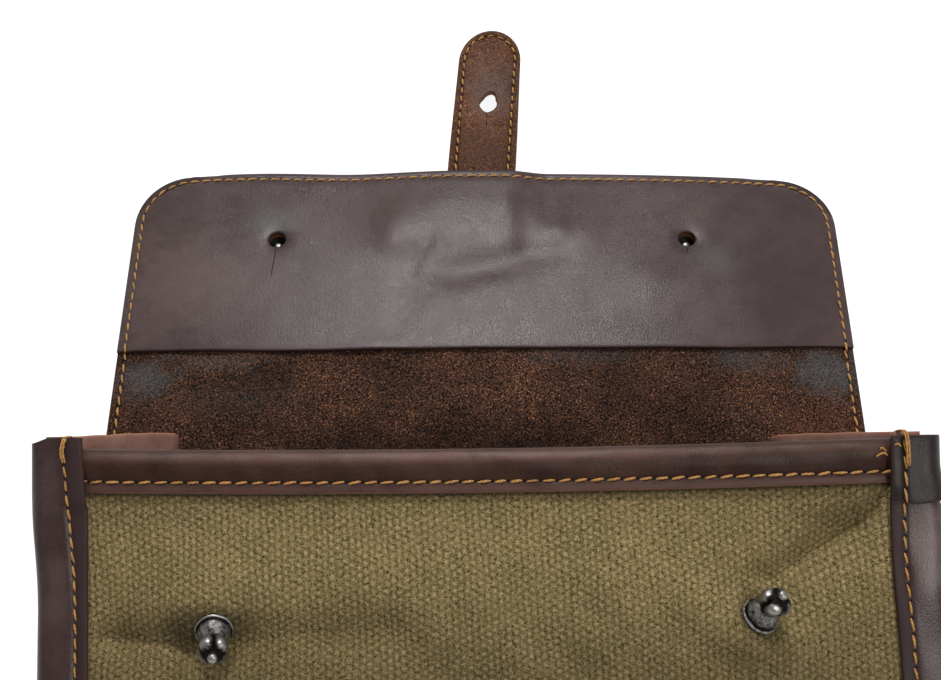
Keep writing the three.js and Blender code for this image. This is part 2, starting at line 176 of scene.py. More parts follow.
# A mesh in the row frame from points in mm, faces, and per-point values kept as attributes or texture maps
def putMesh(name, points, faces, maps, values, finishes, faceFinish, sharp=55):
    used, faces = np.unique(faces, return_inverse=True)
    faces = faces.reshape(-1, 4)
    mesh = bpy.data.meshes.new(name)
    mesh.from_pydata(((points[used] - (0, pouch["middle"], 0)) * mm).tolist(), [], [])
    mesh.loops.add(faces.size)
    mesh.polygons.add(len(faces))
    mesh.loops.foreach_set("vertex_index", faces.ravel())
    mesh.polygons.foreach_set("loop_start", np.arange(0, faces.size, 4))
    mesh.polygons.foreach_set("material_index", np.asarray(faceFinish, np.int32))
    for key, uv in maps.items():
        layer = mesh.uv_layers.new(name=key)
        layer.uv.foreach_set("vector", uv.reshape(-1, 2)[used][faces.ravel()].astype(np.float32).ravel())
    for key, value in values.items():
        mesh.attributes.new(key, "FLOAT", "POINT").data.foreach_set(
            "value", value.ravel()[used].astype(np.float32)
        )
    mesh.update(calc_edges=True)
    mesh.validate()
    mesh.polygons.foreach_set("use_smooth", np.ones(len(mesh.polygons), bool))
    mesh.set_sharp_from_angle(angle=np.radians(sharp))
    for finish in finishes:
        mesh.materials.append(finish)
    made = bpy.data.objects.new(name, mesh)
    bpy.context.collection.objects.link(made)
    return made


# A wall of leather or cloth: the grid of middle points moved half the thickness along the grid's normal to
# either side, thinner towards a cut edge as a quarter circle, and closed along every edge, holes included
def wallMesh(
    name, middle, thickness, rim, finishes, maps=None, keep=None, lip=0.75, flat=0.45, values=None
):
    rows, cols = middle.shape[:2]
    normal = np.cross(np.gradient(middle, axis=1), np.gradient(middle, axis=0))
    normal /= np.linalg.norm(normal, axis=2, keepdims=True)
    k = np.clip(rim / lip, 0, 1)
    half = (thickness / 2 * (flat + (1 - flat) * np.sqrt(1 - (1 - k) ** 2)))[..., None]
    points = np.concatenate(
        [(middle + normal * half).reshape(-1, 3), (middle - normal * half).reshape(-1, 3)]
    )
    at = np.arange(rows * cols).reshape(rows, cols)
    top = np.stack([at[:-1, :-1], at[:-1, 1:], at[1:, 1:], at[1:, :-1]], -1)
    top = top[keep] if keep is not None else top.reshape(-1, 4)
    edges = np.concatenate([top[:, [0, 1]], top[:, [1, 2]], top[:, [2, 3]], top[:, [3, 0]]])
    total = rows * cols
    lone = edges[~np.isin(edges[:, 0] * total + edges[:, 1], edges[:, 1] * total + edges[:, 0])]
    sides = np.stack([lone[:, 1], lone[:, 0], lone[:, 0] + total, lone[:, 1] + total], -1)
    faces = np.concatenate([top, top[:, ::-1] + total, sides])
    which = np.repeat([0, min(1, len(finishes) - 1), len(finishes) - 1], [len(top), len(top), len(sides)])
    both = {
        key: np.tile(value.reshape(-1, 2), (2, 1))
        for key, value in {"seam": np.full((total, 2), 99.0), **(maps or {})}.items()
    }
    extra = {key: np.tile(value.ravel(), 2) for key, value in {"rim": rim, **(values or {})}.items()}
    return putMesh(name, points, faces, both, extra, finishes, which)


# Mends a mesh: joins points that fall together or closes its open ends, and turns all faces outwards
def mend(made, joinPoints):
    shape = bmesh.new()
    shape.from_mesh(made.data)
    if joinPoints:
        bmesh.ops.remove_doubles(shape, verts=shape.verts, dist=1e-6)
    else:
        bmesh.ops.holes_fill(shape, edges=[e for e in shape.edges if e.is_boundary], sides=0)
    bmesh.ops.recalc_face_normals(shape, faces=shape.faces)
    shape.to_mesh(made.data)
    shape.free()
    return made


lobeShape = {"sharp": 1.6, "swell": 0.35, "cut": 1.9, "dark": 4.5, "ribsBelow": 0.12, "ribTurns": (17, 23)}


# A turned piece: each row (radius, height, lobe, dark) is swept round the axis and stands at foot along
# axis. Between the lobes the radius is cut in as (1 - |cos|) to the power sharp, and below them two sines
# make it uneven
def turnedMesh(name, rows, sides, foot, axis, finish, lobes=4, phase=0.0, ribs=0):
    rows = np.asarray(rows, float)
    turn = np.linspace(0, 2 * np.pi, sides, endpoint=False)[None, :]
    r, h, lobe, dark = (rows[:, i:i + 1] for i in range(4))
    between = (1 - np.abs(np.cos(lobes / 2 * turn + phase))) ** lobeShape["sharp"]
    first, second = lobeShape["ribTurns"]
    uneven = (
        ribs * np.clip(lobeShape["ribsBelow"] - lobe, 0, 1) * np.sin(first * turn)
        * np.sin(second * turn + 1)
    )
    reach = r * (1 + lobeShape["swell"] * lobe - lobeShape["cut"] * lobe * between) * (1 + uneven)
    points = np.stack([reach * np.cos(turn), reach * np.sin(turn), h + 0 * turn], -1)
    dark = np.clip(dark + lobeShape["dark"] * lobe * between, 0, 1)
    w = np.asarray(axis, float) / np.linalg.norm(axis)
    u = np.cross((0.0, 1.0, 0.0), w)
    u /= np.linalg.norm(u)
    points = np.asarray(foot) + points @ np.stack([u, np.cross(w, u), w])
    at = np.arange(len(rows) * sides).reshape(len(rows), sides)
    nextAt = np.roll(at, -1, axis=1)
    faces = np.stack([at[:-1], nextAt[:-1], nextAt[1:], at[1:]], -1).reshape(-1, 4)
    made = putMesh(
        name, points.reshape(-1, 3), faces, {}, {"dark": dark}, [finish], np.zeros(len(faces)), 70
    )
    return mend(made, True)


# Finishes
class Wire:
    # One socket of a finish; sums and products of wires add Math nodes
    def __init__(self, tree, socket=None):
        self.tree, self.socket = tree, socket

    # Adds a node of that type with its settings, then its sockets' values or links, and gives one output
    def node(self, kind, settings=None, sockets=None, out=0):
        made = self.tree.nodes.new(kind)
        for key, value in (settings or {}).items():
            setattr(made, key, value)
        for key, value in (sockets or {}).items():
            if isinstance(value, Wire):
                self.tree.links.new(value.socket, made.inputs[key])
            else:
                made.inputs[key].default_value = value
        return Wire(self.tree, made.outputs[out] if len(made.outputs) else None)

    def maths(self, operation, *values):
        return self.node("ShaderNodeMath", {"operation": operation}, dict(enumerate(values)))

    def __add__(self, other):
        return self.maths("ADD", self, other)

    def __sub__(self, other):
        return self.maths("SUBTRACT", self, other)

    def __rsub__(self, other):
        return self.maths("SUBTRACT", other, self)

    def __mul__(self, other):
        return self.maths("MULTIPLY", self, other)

    def __truediv__(self, other):
        return self.maths("DIVIDE", self, other)

    def __pow__(self, other):
        return self.maths("POWER", self, other)

    def __abs__(self):
        return self.maths("ABSOLUTE", self)

    __radd__, __rmul__ = __add__, __mul__


# A colour given 0 to 255, as a linear colour
def tint(r, g, b):
    c = np.array([r, g, b]) / 255
    return (*np.where(c <= 0.04045, c / 12.92, ((c + 0.055) / 1.055) ** 2.4).tolist(), 1)


# Value eased from 0 at start to 1 at end
def ease(value, start, end):
    return value.node(
        "ShaderNodeMapRange", {"interpolation_type": "SMOOTHSTEP"},
        {"Value": value, "From Min": start, "From Max": end}
    )


# Cloudy pattern with patches about size mm across, stretched along an axis by the three factors
def clouds(place, size, detail=3, rough=0.55, stretch=None):
    if stretch:
        place = place.node(
            "ShaderNodeMapping", {}, {"Vector": place, "Scale": tuple(1 / s for s in stretch)}
        )
    return place.node(
        "ShaderNodeTexNoise", {},
        {"Vector": place, "Scale": 1000 / size, "Detail": detail, "Roughness": rough}
    )


def mixed(first, second, amount):
    return amount.node("ShaderNodeMix", {"data_type": "RGBA"}, {0: amount, 6: first, 7: second}, 2)


# Soft ragged patch round a place of the row, half sizes in mm
def patch(place, x, y, halfX, halfY, ragged=0.5):
    away = place.node(
        "ShaderNodeVectorMath", {"operation": "SUBTRACT"},
        {0: place, 1: (x * mm, (y - pouch["middle"]) * mm, 0)}
    )
    away = place.node(
        "ShaderNodeVectorMath", {"operation": "MULTIPLY"},
        {0: away, 1: (1 / (halfX * mm), 1 / (halfY * mm), 0)}
    )
    length = place.node("ShaderNodeVectorMath", {"operation": "LENGTH"}, {0: away}, "Value")
    return ease(length + (clouds(place, 5, 3) - 0.5) * (2 * ragged), 1.1, 0.1)


def startFinish(name):
    finish = bpy.data.materials.new(name)
    finish.use_nodes = True
    finish.node_tree.nodes.clear()
    return finish, Wire(finish.node_tree).node("ShaderNodeTexCoord", out="Object")


def closeFinish(place, colour, roughness, height=None, depth=0.3, **fixed):
    sockets = {
        "Base Color": colour, "Roughness": roughness,
        **{key.replace("_", " "): value for key, value in fixed.items()}
    }
    if height is not None:
        sockets["Normal"] = place.node(
            "ShaderNodeBump", {}, {"Height": height, "Strength": 1.0, "Distance": depth * mm}
        )
    place.node(
        "ShaderNodeOutputMaterial", {}, {"Surface": place.node("ShaderNodeBsdfPrincipled", {}, sockets)}
    )


def attribute(place, name):
    return place.node("ShaderNodeAttribute", {"attribute_name": name}, {}, "Fac")


# Marks of a stitch row: a shallow trough along the row, and a dark prick at each end of a stitch
def seamMarks(place, pitch):
    seam = place.node(
        "ShaderNodeSeparateXYZ", {}, {0: place.node("ShaderNodeUVMap", {"uv_map": "seam"})}, "X"
    )
    along, away = seam, Wire(place.tree, seam.socket.node.outputs["Y"])
    step = (along.maths("FRACT", along + 0.5) - 0.5) * pitch
    return ease(abs(away), 1.5, 0.2), ease((step * step + away * away) ** 0.5, 0.75, 0.3)


leatherFinishes = {
    "facingLeather": {
        "deep": (58, 46, 46), "base": (70, 57, 56), "edge": (46, 32, 29), "wearAndSheen": (90, 78, 76),
        "gloss": 0.28, "shine": 0.155, "grain": 0.6, "pitch": 4.4
    },
    "trimLeather": {
        "deep": (42, 24, 20), "base": (61, 38, 31), "edge": (104, 68, 56), "wearAndSheen": (126, 96, 86),
        "gloss": 0.44, "shine": 0.15, "grain": 0.8, "pitch": 4.5
    },
    "bindingLeather": {
        "deep": (42, 27, 26), "base": (58, 43, 41), "edge": (78, 44, 34), "wearAndSheen": (112, 98, 94),
        "gloss": 0.36, "shine": 0.26, "grain": 0.8, "pitch": 4.2
    },
    "capLeather": {
        "deep": (24, 18, 17), "base": (38, 29, 26), "edge": (60, 40, 32), "wearAndSheen": (66, 58, 56),
        "gloss": 0.42, "shine": 0.2, "grain": 0.8, "pitch": 4.2
    },
    "gussetLeather": {
        "deep": (108, 76, 66), "base": (144, 107, 94), "edge": (140, 92, 66), "wearAndSheen": (162, 124, 108),
        "gloss": 0.45, "shine": 0.2, "grain": 0.8, "pitch": 4.4
    },
    "outerLeather": {
        "deep": (40, 28, 25), "base": (60, 43, 38), "edge": (100, 62, 40), "wearAndSheen": (92, 72, 64),
        "gloss": 0.42, "shine": 0.24, "grain": 0.8, "pitch": 4.4
    },
}

# Depth of smooth leather's grain in mm, raw leather's colour 0 to 255, and the linear colours of a cut slit
# and of a stitch's prick
leatherDepth = 0.15
rawLeather = (88, 60, 38)
# Both colours are painted shade, in a slit's gap and in a prick's hole
slitShade, prickShade = (0.004, 0.003, 0.003, 1), (0.006, 0.004, 0.003, 1)


# Smooth leather: two browns in clouds, worn streaks, raw cut edges, fine pebbles and pores, stitch marks
def smoothLeather(name, stainsAndPaintedLight=()):
    look = leatherFinishes[name]
    finish, place = startFinish(name)
    cloud, blotch = clouds(place, 38, 4), clouds(place, 9, 3)
    pores, pebbles = clouds(place, 0.45, 2), clouds(place, look["grain"], 3, 0.6)
    scuff = ease(clouds(place, 3.5, 5, 0.7, (1, 3, 1)), 0.60, 0.80) * ease(cloud, 0.35, 0.7)
    trough, pricks = seamMarks(place, look["pitch"])
    rim = attribute(place, "rim")
    colour = mixed(
        tint(*look["deep"]), tint(*look["base"]),
        ease(cloud * 0.6 + blotch * 0.4 + (pores - 0.5) * 0.35, 0.34, 0.66)
    )
    colour = mixed(colour, tint(*look["wearAndSheen"]), scuff * 0.30)
    for x, y, halfX, halfY, shade, amount in stainsAndPaintedLight:
        colour = mixed(colour, tint(*shade), patch(place, x, y, halfX, halfY) * amount)
    # Painted shade along the stitch trough
    colour = mixed(colour, tint(*look["deep"]), trough * 0.35)
    colour = mixed(colour, tint(*look["edge"]), ease(rim + (blotch - 0.5) * 0.5, 0.55, 0.05) * 0.85)
    raw = attribute(place, "raw")
    colour = mixed(colour, tint(*rawLeather), ease(raw + (pores - 0.5) * 0.5, 0.55, 0.8) * 0.35)
    shade = attribute(place, "shade")
    # The pale attribute paints highlights with some wear, and the shade attribute paints shade
    colour = mixed(
        colour, tint(*look["wearAndSheen"]),
        attribute(place, "pale") * ease(blotch + (pores - 0.5) * 0.3, 0.05, 0.5)
    )
    colour = mixed(colour, tint(*look["deep"]), shade * 0.8)
    # Painted shade: near black in cut slits and at each stitch prick
    colour = mixed(colour, slitShade, ease(raw * -1, 0.3, 0.8))
    colour = mixed(colour, prickShade, pricks * 0.9)
    roughness = (
        look["gloss"] + (blotch - 0.5) * 0.22 + scuff * 0.16 + ease(rim, 0.5, 0.05) * 0.3 + pricks * 0.3
        + shade * 0.25
    )
    height = pebbles * 0.6 + pores * 0.35 + blotch * 0.5 - pricks * 2.0 - trough * 0.8
    closeFinish(place, colour, roughness, height, leatherDepth, Specular_IOR_Level=look["shine"])
    return finish


suedeLook = {
    "deep": (14, 9, 7), "base": (68, 46, 36), "fleck": (182, 122, 84), "burnished": (78, 77, 77),
    "nap": 0.68, "pitch": 4.4
}


# Suede: dark nap with orange-brown fibres, mottled in clouds, with burnished patches rubbed flat and grey
def suede(name, burnished=(), lighter=0.0, stainsAndPaintedLight=(), flecks=0.9):
    finish, place = startFinish(name)
    cloud, blotch = clouds(place, 30, 4), clouds(place, 5, 3)
    nap, fibre = clouds(place, suedeLook["nap"], 3, 0.75), clouds(place, 0.6, 2, 0.6)
    trough, pricks = seamMarks(place, suedeLook["pitch"])
    rim = attribute(place, "rim")
    shade = nap + (cloud - 0.5) * 0.18 + (blotch - 0.5) * 0.10 + lighter
    colour = mixed(tint(*suedeLook["deep"]), tint(*suedeLook["base"]), ease(shade, 0.42, 0.53))
    colour = mixed(
        colour, tint(*suedeLook["fleck"]),
        ease(fibre * 0.6 + nap * 0.4 + (cloud - 0.5) * 0.2 + lighter * 0.4, 0.53, 0.72) * flecks
    )
    for x, y, halfX, halfY, tone, amount in stainsAndPaintedLight:
        colour = mixed(
            colour, tint(*tone), patch(place, x, y, halfX, halfY, 0.7) * ease(shade, 0.35, 0.6) * amount
        )
    polish = None
    for x, y, halfX, halfY, amount in burnished:
        spot = patch(place, x, y, halfX, halfY, 0.7) * ease(nap, 0.25, 0.6) * amount
        colour = mixed(colour, tint(*suedeLook["burnished"]), spot)
        polish = spot if polish is None else polish + spot
    # Painted shade along the stitch trough, at each stitch prick and in cut slits
    colour = mixed(colour, tint(*suedeLook["deep"]), trough * 0.35)
    colour = mixed(colour, tint(*rawLeather), ease(rim, 0.9, 0.1) * 0.6)
    colour = mixed(colour, prickShade, pricks * 0.6 + ease(attribute(place, "raw") * -1, 0.3, 0.8))
    roughness = 0.95 - (polish * 0.4 if polish is not None else 0.0)
    closeFinish(
        place, colour, roughness, nap + fibre * 0.7 - trough * 0.8 - pricks * 1.5, 0.55,
        Specular_IOR_Level=0.12
    )
    return finish


# Painted shade on the canvas, mixed towards low: darker towards the foot (lowAmount), just under the hem
# (topAmount), in a narrow shadow line under the hem's edge (hemAmount), and round the studs' seats
weaveLook = {
    "warpPitch": 1.86, "weftPitch": 1.07, "yarn": (122, 106, 72), "pale": (158, 141, 102),
    "deep": (55, 46, 28), "green": (100, 91, 58), "rust": (134, 100, 64), "low": (22, 19, 11),
    "lowAmount": 0.34, "lowSpan": (132, 90), "topAmount": 0.14, "topSpan": (137, 149), "hemAmount": 0.6,
    "hemSpan": (151.4, 152.8), "dirtAndShade": [(-79, 115.5, 14, 6, 0.5), (74.5, 115.8, 8, 6.5, 0.4)]
}


# Plain weave: upright yarns pass over level ones where sin(x) sin(y) is above 0, as on a chessboard. The
# upright yarns also stand out as columns, sin(x)² - 0.5, and fine clouds break both up into fibres
def canvasWeave(name):
    finish, place = startFinish(name)
    flat = place.node("ShaderNodeUVMap", {"uv_map": "flat"})
    across = flat.node("ShaderNodeSeparateXYZ", {}, {0: flat}, "X")
    up = Wire(flat.tree, across.socket.node.outputs["Y"])
    slub, lump = clouds(place, 3.0, 3), clouds(place, 1.3, 2)
    fuzz, fibre = clouds(place, 0.75, 3, 0.7), clouds(place, 0.42, 2, 0.6)
    # Painted shade round the studs' seats, under the hem's edge and towards the foot
    studShade = []
    for shadeX, shadeUp, halfX, halfY, amount in weaveLook["dirtAndShade"]:
        away = (((across - shadeX) / halfX) ** 2 + ((up - shadeUp) / halfY) ** 2) ** 0.5
        studShade.append(ease(away + (lump - 0.5) * 0.5, 1.3, 0.5) * amount)
    lower = ease(up + hemSag(across), *weaveLook["hemSpan"]) * weaveLook["hemAmount"]
    lower = (
        lower + ease(up + (clouds(place, 40, 2) - 0.5) * 20, *weaveLook["lowSpan"]) * weaveLook["lowAmount"]
    )
    lower = lower + ease(up, *weaveLook["topSpan"]) * weaveLook["topAmount"]
    across = (
        (across + (slub - 0.5) * 0.9 + (clouds(place, 24, 2) - 0.5) * 1.5)
        * (np.pi / weaveLook["warpPitch"])
    )
    up = (up + (clouds(place, 3.4, 2) - 0.5) * 0.8) * (np.pi / weaveLook["weftPitch"])
    ridge = across.maths("SINE", across)
    cross = ridge * up.maths("SINE", up)
    column = ridge * ridge - 0.5
    blotch = clouds(place, 14, 4)
    body = cross * 0.5 + column * 0.65 + (fuzz - 0.5) * 3.6 + (fibre - 0.5) * 4.9 + (lump - 0.5) * 1.2
    hue = clouds(place, 0.6, 2)
    colour = mixed(
        tint(*weaveLook["yarn"]), tint(*weaveLook["green"]),
        ease(blotch + (lump - 0.5) * 0.6, 0.38, 0.70) * 0.6
    )
    colour = mixed(colour, tint(*weaveLook["rust"]), ease(hue, 0.54, 0.70) * 0.45)
    colour = mixed(colour, tint(*weaveLook["pale"]), ease(body + (slub - 0.5) * 1.2, 0.2, 1.5) * 0.85)
    colour = mixed(tint(*weaveLook["deep"]), colour, ease(body, -1.3, 0.2))
    colour = mixed(colour, tint(*weaveLook["low"]), sum(studShade, lower))
    height = cross * 0.22 + column * 0.2 + fuzz * 0.5 + fibre * 0.5 + lump * 0.5
    closeFinish(place, colour, 0.95, height, 0.5, Specular_IOR_Level=0.12)
    return finish


threadLook = {"base": (152, 110, 57), "deep": (96, 63, 32), "pale": (190, 146, 86)}


# Waxed thread: two plies laid round each other, so the shade runs in slanting bands
def waxedThread(name):
    finish, place = startFinish(name)
    lay = place.node("ShaderNodeUVMap", {"uv_map": "lay"})
    along = lay.node("ShaderNodeSeparateXYZ", {}, {0: lay}, "X")
    around = Wire(lay.tree, along.socket.node.outputs["Y"])
    band = along.maths("SINE", (around * 2 + along * 3) * (2 * np.pi))
    dirtAndShade, fibre = clouds(place, 7, 3), clouds(place, 0.3, 2)
    colour = mixed(
        tint(*threadLook["base"]), tint(*threadLook["pale"]), ease(band * 0.18 + fibre, 0.42, 0.9)
    )
    colour = mixed(colour, tint(*threadLook["deep"]), ease(dirtAndShade * 1.2 - band * 0.08, 0.50, 0.95) * 0.6)
    closeFinish(place, colour, 0.7, band * 0.14 + fibre * 0.4, 0.1, Specular_IOR_Level=0.25)
    return finish


silverLook = {"bright": (0.30, 0.285, 0.27, 1), "hollow": (0.014, 0.013, 0.012, 1)}


# Old silver: bright worn heights, near black in the hollows
def oldSilver(name):
    finish, place = startFinish(name)
    dark = attribute(place, "dark")
    cloud, scratch = clouds(place, 2.2, 4), clouds(place, 0.35, 3)
    hollow = ease(dark + (cloud - 0.5) * 1.7 + (scratch - 0.5) * 0.7, 0.1, 0.75)
    colour = mixed(silverLook["bright"], silverLook["hollow"], hollow)
    closeFinish(
        place, colour, 0.30 + cloud * 0.2 + hollow * 0.2, scratch * 0.6 + cloud * 0.9, 0.08, Metallic=1.0
    )
    return finish


# Stains and painted light: x, y, half sizes, shade and amount. Burnished patches of suede have no shade of
# their own
facingFinish = smoothLeather(
    "facingLeather",
    [
        # The first row is a painted highlight, lighter at the left where the sheen spreads
        (-108, 90, 42, 30, (92, 79, 77), 0.5), (-79, 115, 13, 11, (78, 80, 76), 0.5),
        # These two rows darken the leather round the keyholes
        (-76, 107, 8, 6, (40, 36, 34), 0.6), (77, 104, 10, 8, (40, 36, 34), 0.5),
        # The second row here is painted shade, darker at the right where the sheen fades
        (84, 97, 13, 11, (78, 80, 76), 0.35), (112, 100, 26, 44, (56, 45, 46), 0.35)
    ]
)
trimFinish, bindingFinish, capFinish, gussetFinish, outerFinish = (
    smoothLeather(k)
    for k in ("trimLeather", "bindingLeather", "capLeather", "gussetLeather", "outerLeather")
)
suedeFinish = suede(
    "suedeNap",
    [
        (-121, 50, 15, 11, 0.75), (-96, 56, 24, 6, 0.35), (121, 52, 16, 13, 0.8), (92, 56, 18, 7, 0.4),
        (32, 57, 26, 6, 0.3), (-86, 40, 30, 9, 0.15)
    ],
    -0.02,
    [
        (118, 30, 22, 16, (104, 62, 42), 0.5), (70, 44, 40, 12, (104, 62, 42), 0.15),
        # The last row here is painted shade, darker low in the mouth under the front
        (-116, 34, 16, 12, (104, 62, 42), 0.2), (-20, 14, 112, 24, (28, 18, 14), 0.6)
    ]
)
tabFinish = suede(
    "tabSuede", [(4, 176, 11, 16, 0.4)], 0.08,
    [(1, 178, 14, 26, (118, 89, 76), 0.55), (0, 150, 16, 16, (90, 64, 52), 0.5)], 0.6
)
canvasFinish = canvasWeave("canvasWeave")
threadFinish = waxedThread("waxedThread")
silverFinish = oldSilver("oldSilver")
print("finishes made")


# Places a finished piece in the part: it rides the pouch and stands for CAD nodes, which it hides
def settle(piece, slot, *nodes):
    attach(piece, "root")
    if nodes:
        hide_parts(*nodes)
    return piece


# Distance along and away from the nearest point of a stitch line, for every point of a grid
def seamMap(x, y, line, pitch):
    run = runAlong(line)
    lineX, lineY = line.T.astype(np.float32)
    awayX = x.ravel()[:, None].astype(np.float32) - lineX
    awayY = y.ravel()[:, None].astype(np.float32) - lineY
    near = (awayX ** 2 + awayY ** 2).argmin(1)
    step = np.gradient(line, axis=0)
    step /= np.linalg.norm(step, axis=1, keepdims=True)
    off = np.stack([x.ravel(), y.ravel()], -1) - line[near]
    along = run[near] + (off * step[near]).sum(1)
    away = off[:, 0] * -step[near][:, 1] + off[:, 1] * step[near][:, 0]
    return np.stack([along / evenPitch(run[-1], pitch), away], -1).reshape(*x.shape, 2)


# Holes in a grid: the square block taken out, how far the grid moves, and the grid lines beside the centre
holeLook = {
    "block": 2.4, "reach": 7.5, "slitHalf": 0.07, "slack": 0.05, "rawFade": 0.45, "slitFade": 0.12,
    "slitFrom": 0.3, "lines": (0.22, 0.9, 1.7, 2.4, 2.55, 2.8, 3.3, 4.2, 5.6, 7.5)
}
block, slitHalf = holeLook["block"], holeLook["slitHalf"]


# Opens a round hole: rings of squares round the centre become rings of circles, as wide as the radii say.
# Gives the moved grid, the distance from the hole, and where leather is raw (to 1) or a slit runs (to -1)
def openHole(x, y, hole):
    reach, slack = holeLook["reach"], holeLook["slack"]
    dx, dy = x - hole["x"], y - hole["y"]
    ring, away = np.maximum(np.abs(dx), np.abs(dy)), np.hypot(dx, dy) + 1e-9
    turn = np.degrees(np.arctan2(dy, dx)) % 360
    radius = np.interp(turn, hole["turns"], hole["radii"])
    circle = radius + (ring - block) * (reach - radius) / (reach - block)
    k = smooth(block, reach, ring)
    shown = (ring < reach) & (ring > block - slack)
    newX = np.where(shown, hole["x"] + dx * (k + (1 - k) * circle / away), x)
    newY = np.where(shown, hole["y"] + dy * (k + (1 - k) * circle / away), y)
    alongSlit = (y < hole["y"] - block + slack) & (y > hole["y"] - hole["slit"])
    beside = np.maximum(np.where(alongSlit, np.abs(newX - hole["x"]) - slitHalf, 9), 0)
    beyond = np.maximum(np.hypot(newX - hole["x"], newY - hole["y"]) - radius, 0)
    slit = np.exp(-beside / holeLook["slitFade"]) * (beyond > holeLook["slitFrom"])
    return newX, newY, beyond, np.exp(-beyond / holeLook["rawFade"]) - slit


# Cells of a grid that a hole and its slit take away
def holeCells(cols, rows, hole):
    midX, midY = np.meshgrid((cols[1:] + cols[:-1]) / 2 - hole["x"], (rows[1:] + rows[:-1]) / 2 - hole["y"])
    slit = (np.abs(midX) < slitHalf) & (midY < 0) & (midY > -hole["slit"]) & hole["cut"]
    return ((np.abs(midX) < block) & (np.abs(midY) < block)) | slit


def holeLines(at):
    side = np.array([slitHalf, *holeLook["lines"]])
    return np.concatenate([at - side, at + side])


# Back and flap: lies flat, lifts over the bottom seam, and the flap bows up across with its bumps and dents
flapLook = {
    "dents": [
        (-33, 108, -30, 112, 13, 1.0), (29, 108, 32, 111, 13, 1.0), (-12, 91, 26, 102, 7, -0.8),
        (-18, 102, -30, 71, 6, -0.35), (62, 86, 96, 84, 12, 0.8)
    ],
    "droop": 0.4, "stitchInset": 3.0, "pitch": 4.4, "keyholeY": 107.0, "keyholeX": (-77.0, 75.0),
    "keyholeRadius": 3.2, "slits": (16.5, 7.0), "slitLean": 0.075, "rows": 2.0, "columns": 1.8,
    "ripple": 0.16, "trough": 0.25, "edgeBulge": 2.2, "edgeLeft": 2.4
}
keyholes = [
    {
        "x": x, "y": flapLook["keyholeY"], "slit": slit, "cut": True, "turns": [0, 360],
        "radii": [flapLook["keyholeRadius"]] * 2
    }
    for x, slit in zip(flapLook["keyholeX"], flapLook["slits"])
]


# Half the width: grows from the bottom seam to the fold, then straight, with a quarter circle at the end
def halfWidth(y):
    straight = np.where(y < 0, frontHalf + (flapHalf - frontHalf) * (1 + y / frontHeight), flapHalf)
    into = np.clip(y - flapLength + flapCorner, 0, flapCorner)
    return straight - flapCorner + np.sqrt(flapCorner ** 2 - into ** 2)


def backLift(y):
    return (trim + gap) * smooth(bottomY + 34, bottomY + 17, y)


# Height of the underside: bowed as 1 - (x / half)⁴, lower at the free edge, with bumps away from the sides
def flapLift(x, y):
    side, reach = np.abs(x) / flapHalf, np.clip((y - facingEdge) / pouch["facingDepth"], 0, 1)
    bow = pouch["flapBow"] * (1 - side ** 4) * (1 - flapLook["droop"] * reach ** 2)
    bumps = smooth(0.97, 0.8, side) * relief(flapLook["dents"], x, y)
    return backLift(y) + smooth(0, 45, y) * (bow + bumps)


# The free edge bulges a little in the middle and reaches further at the left corner
def flapEdge(across, y):
    left = flapLook["edgeLeft"] * smooth(-0.35, -0.85, across)
    further = flapLook["edgeBulge"] * (1 - across ** 2) + left
    return y + smooth(flapLength - 40, flapLength, y) * further


def flapPlace(x, y, level):
    across = np.clip(x / flapHalf, -1, 1)
    wide, reach = across * halfWidth(y), flapEdge(across, y)
    return np.stack([wide, reach, level(wide, reach)], -1)


# Distance in from the outline, a rectangle with rounded far corners
def flapRim(x, y):
    half = halfWidth(np.minimum(y, 0))
    dx, dy = np.abs(x * half / flapHalf) - half + flapCorner, y - flapLength + flapCorner
    return flapCorner - np.minimum(np.maximum(dx, dy), 0) - np.hypot(np.maximum(dx, 0), np.maximum(dy, 0))


cornerTurn = np.linspace(0, np.pi / 2, 22)[1:]
cornerRows = flapLength - flapCorner + flapCorner * np.sin(cornerTurn)


def flapGrid(rows, columns):
    cols = gridLines(-flapHalf, flapHalf, columns, [holeLines(h["x"]) for h in keyholes])
    x, y = np.meshgrid(cols, rows)
    rim, raw = np.full(x.shape, 99.0), np.zeros(x.shape)
    gone = np.zeros((len(rows) - 1, len(cols) - 1), bool)
    flatX, flatY = x, y
    for hole in keyholes:
        x, y, near, bare = openHole(x, y, hole)
        rim = np.minimum(rim, np.where(np.hypot(flatX - hole["x"], flatY - hole["y"]) < 20, near, 99))
        raw = raw + bare
        gone |= holeCells(cols, rows, hole)
        below = hole["y"] - y
        lean = flapLook["slitLean"] * np.clip(below - 3, 0, 14)
        x = x - lean * smooth(9, 2, np.abs(flatX - hole["x"])) * smooth(30, 18, below)
    return x, y, rim, raw, ~gone


inset = flapLook["stitchInset"]
turn = np.linspace(0, np.pi / 2, 40)
corner = np.stack(
    [
        flapHalf - flapCorner + (flapCorner - inset) * np.cos(turn),
        flapLength - flapCorner + (flapCorner - inset) * np.sin(turn)
    ],
    -1
)
sideY = np.linspace(bottomY + 20, flapLength - flapCorner, 500)[:-1]
sideLine = np.stack([halfWidth(sideY) - inset, sideY], -1)
topX = np.linspace(flapHalf - flapCorner, -flapHalf + flapCorner, 440)[1:-1]
flapLine = np.concatenate(
    [
        sideLine, corner, np.stack([topX, 0 * topX + flapLength - inset], -1), corner[::-1] * (-1, 1),
        sideLine[::-1] * (-1, 1)
    ]
)


# In the corners the grid closes up with the outline, so the stitch line is sought from the closed-up x
def flapSeam(x, y):
    return seamMap(x * halfWidth(y) / flapHalf, y, flapLine, flapLook["pitch"])


def backLevel(x, y):
    return flapLift(x, y) + leather / 2


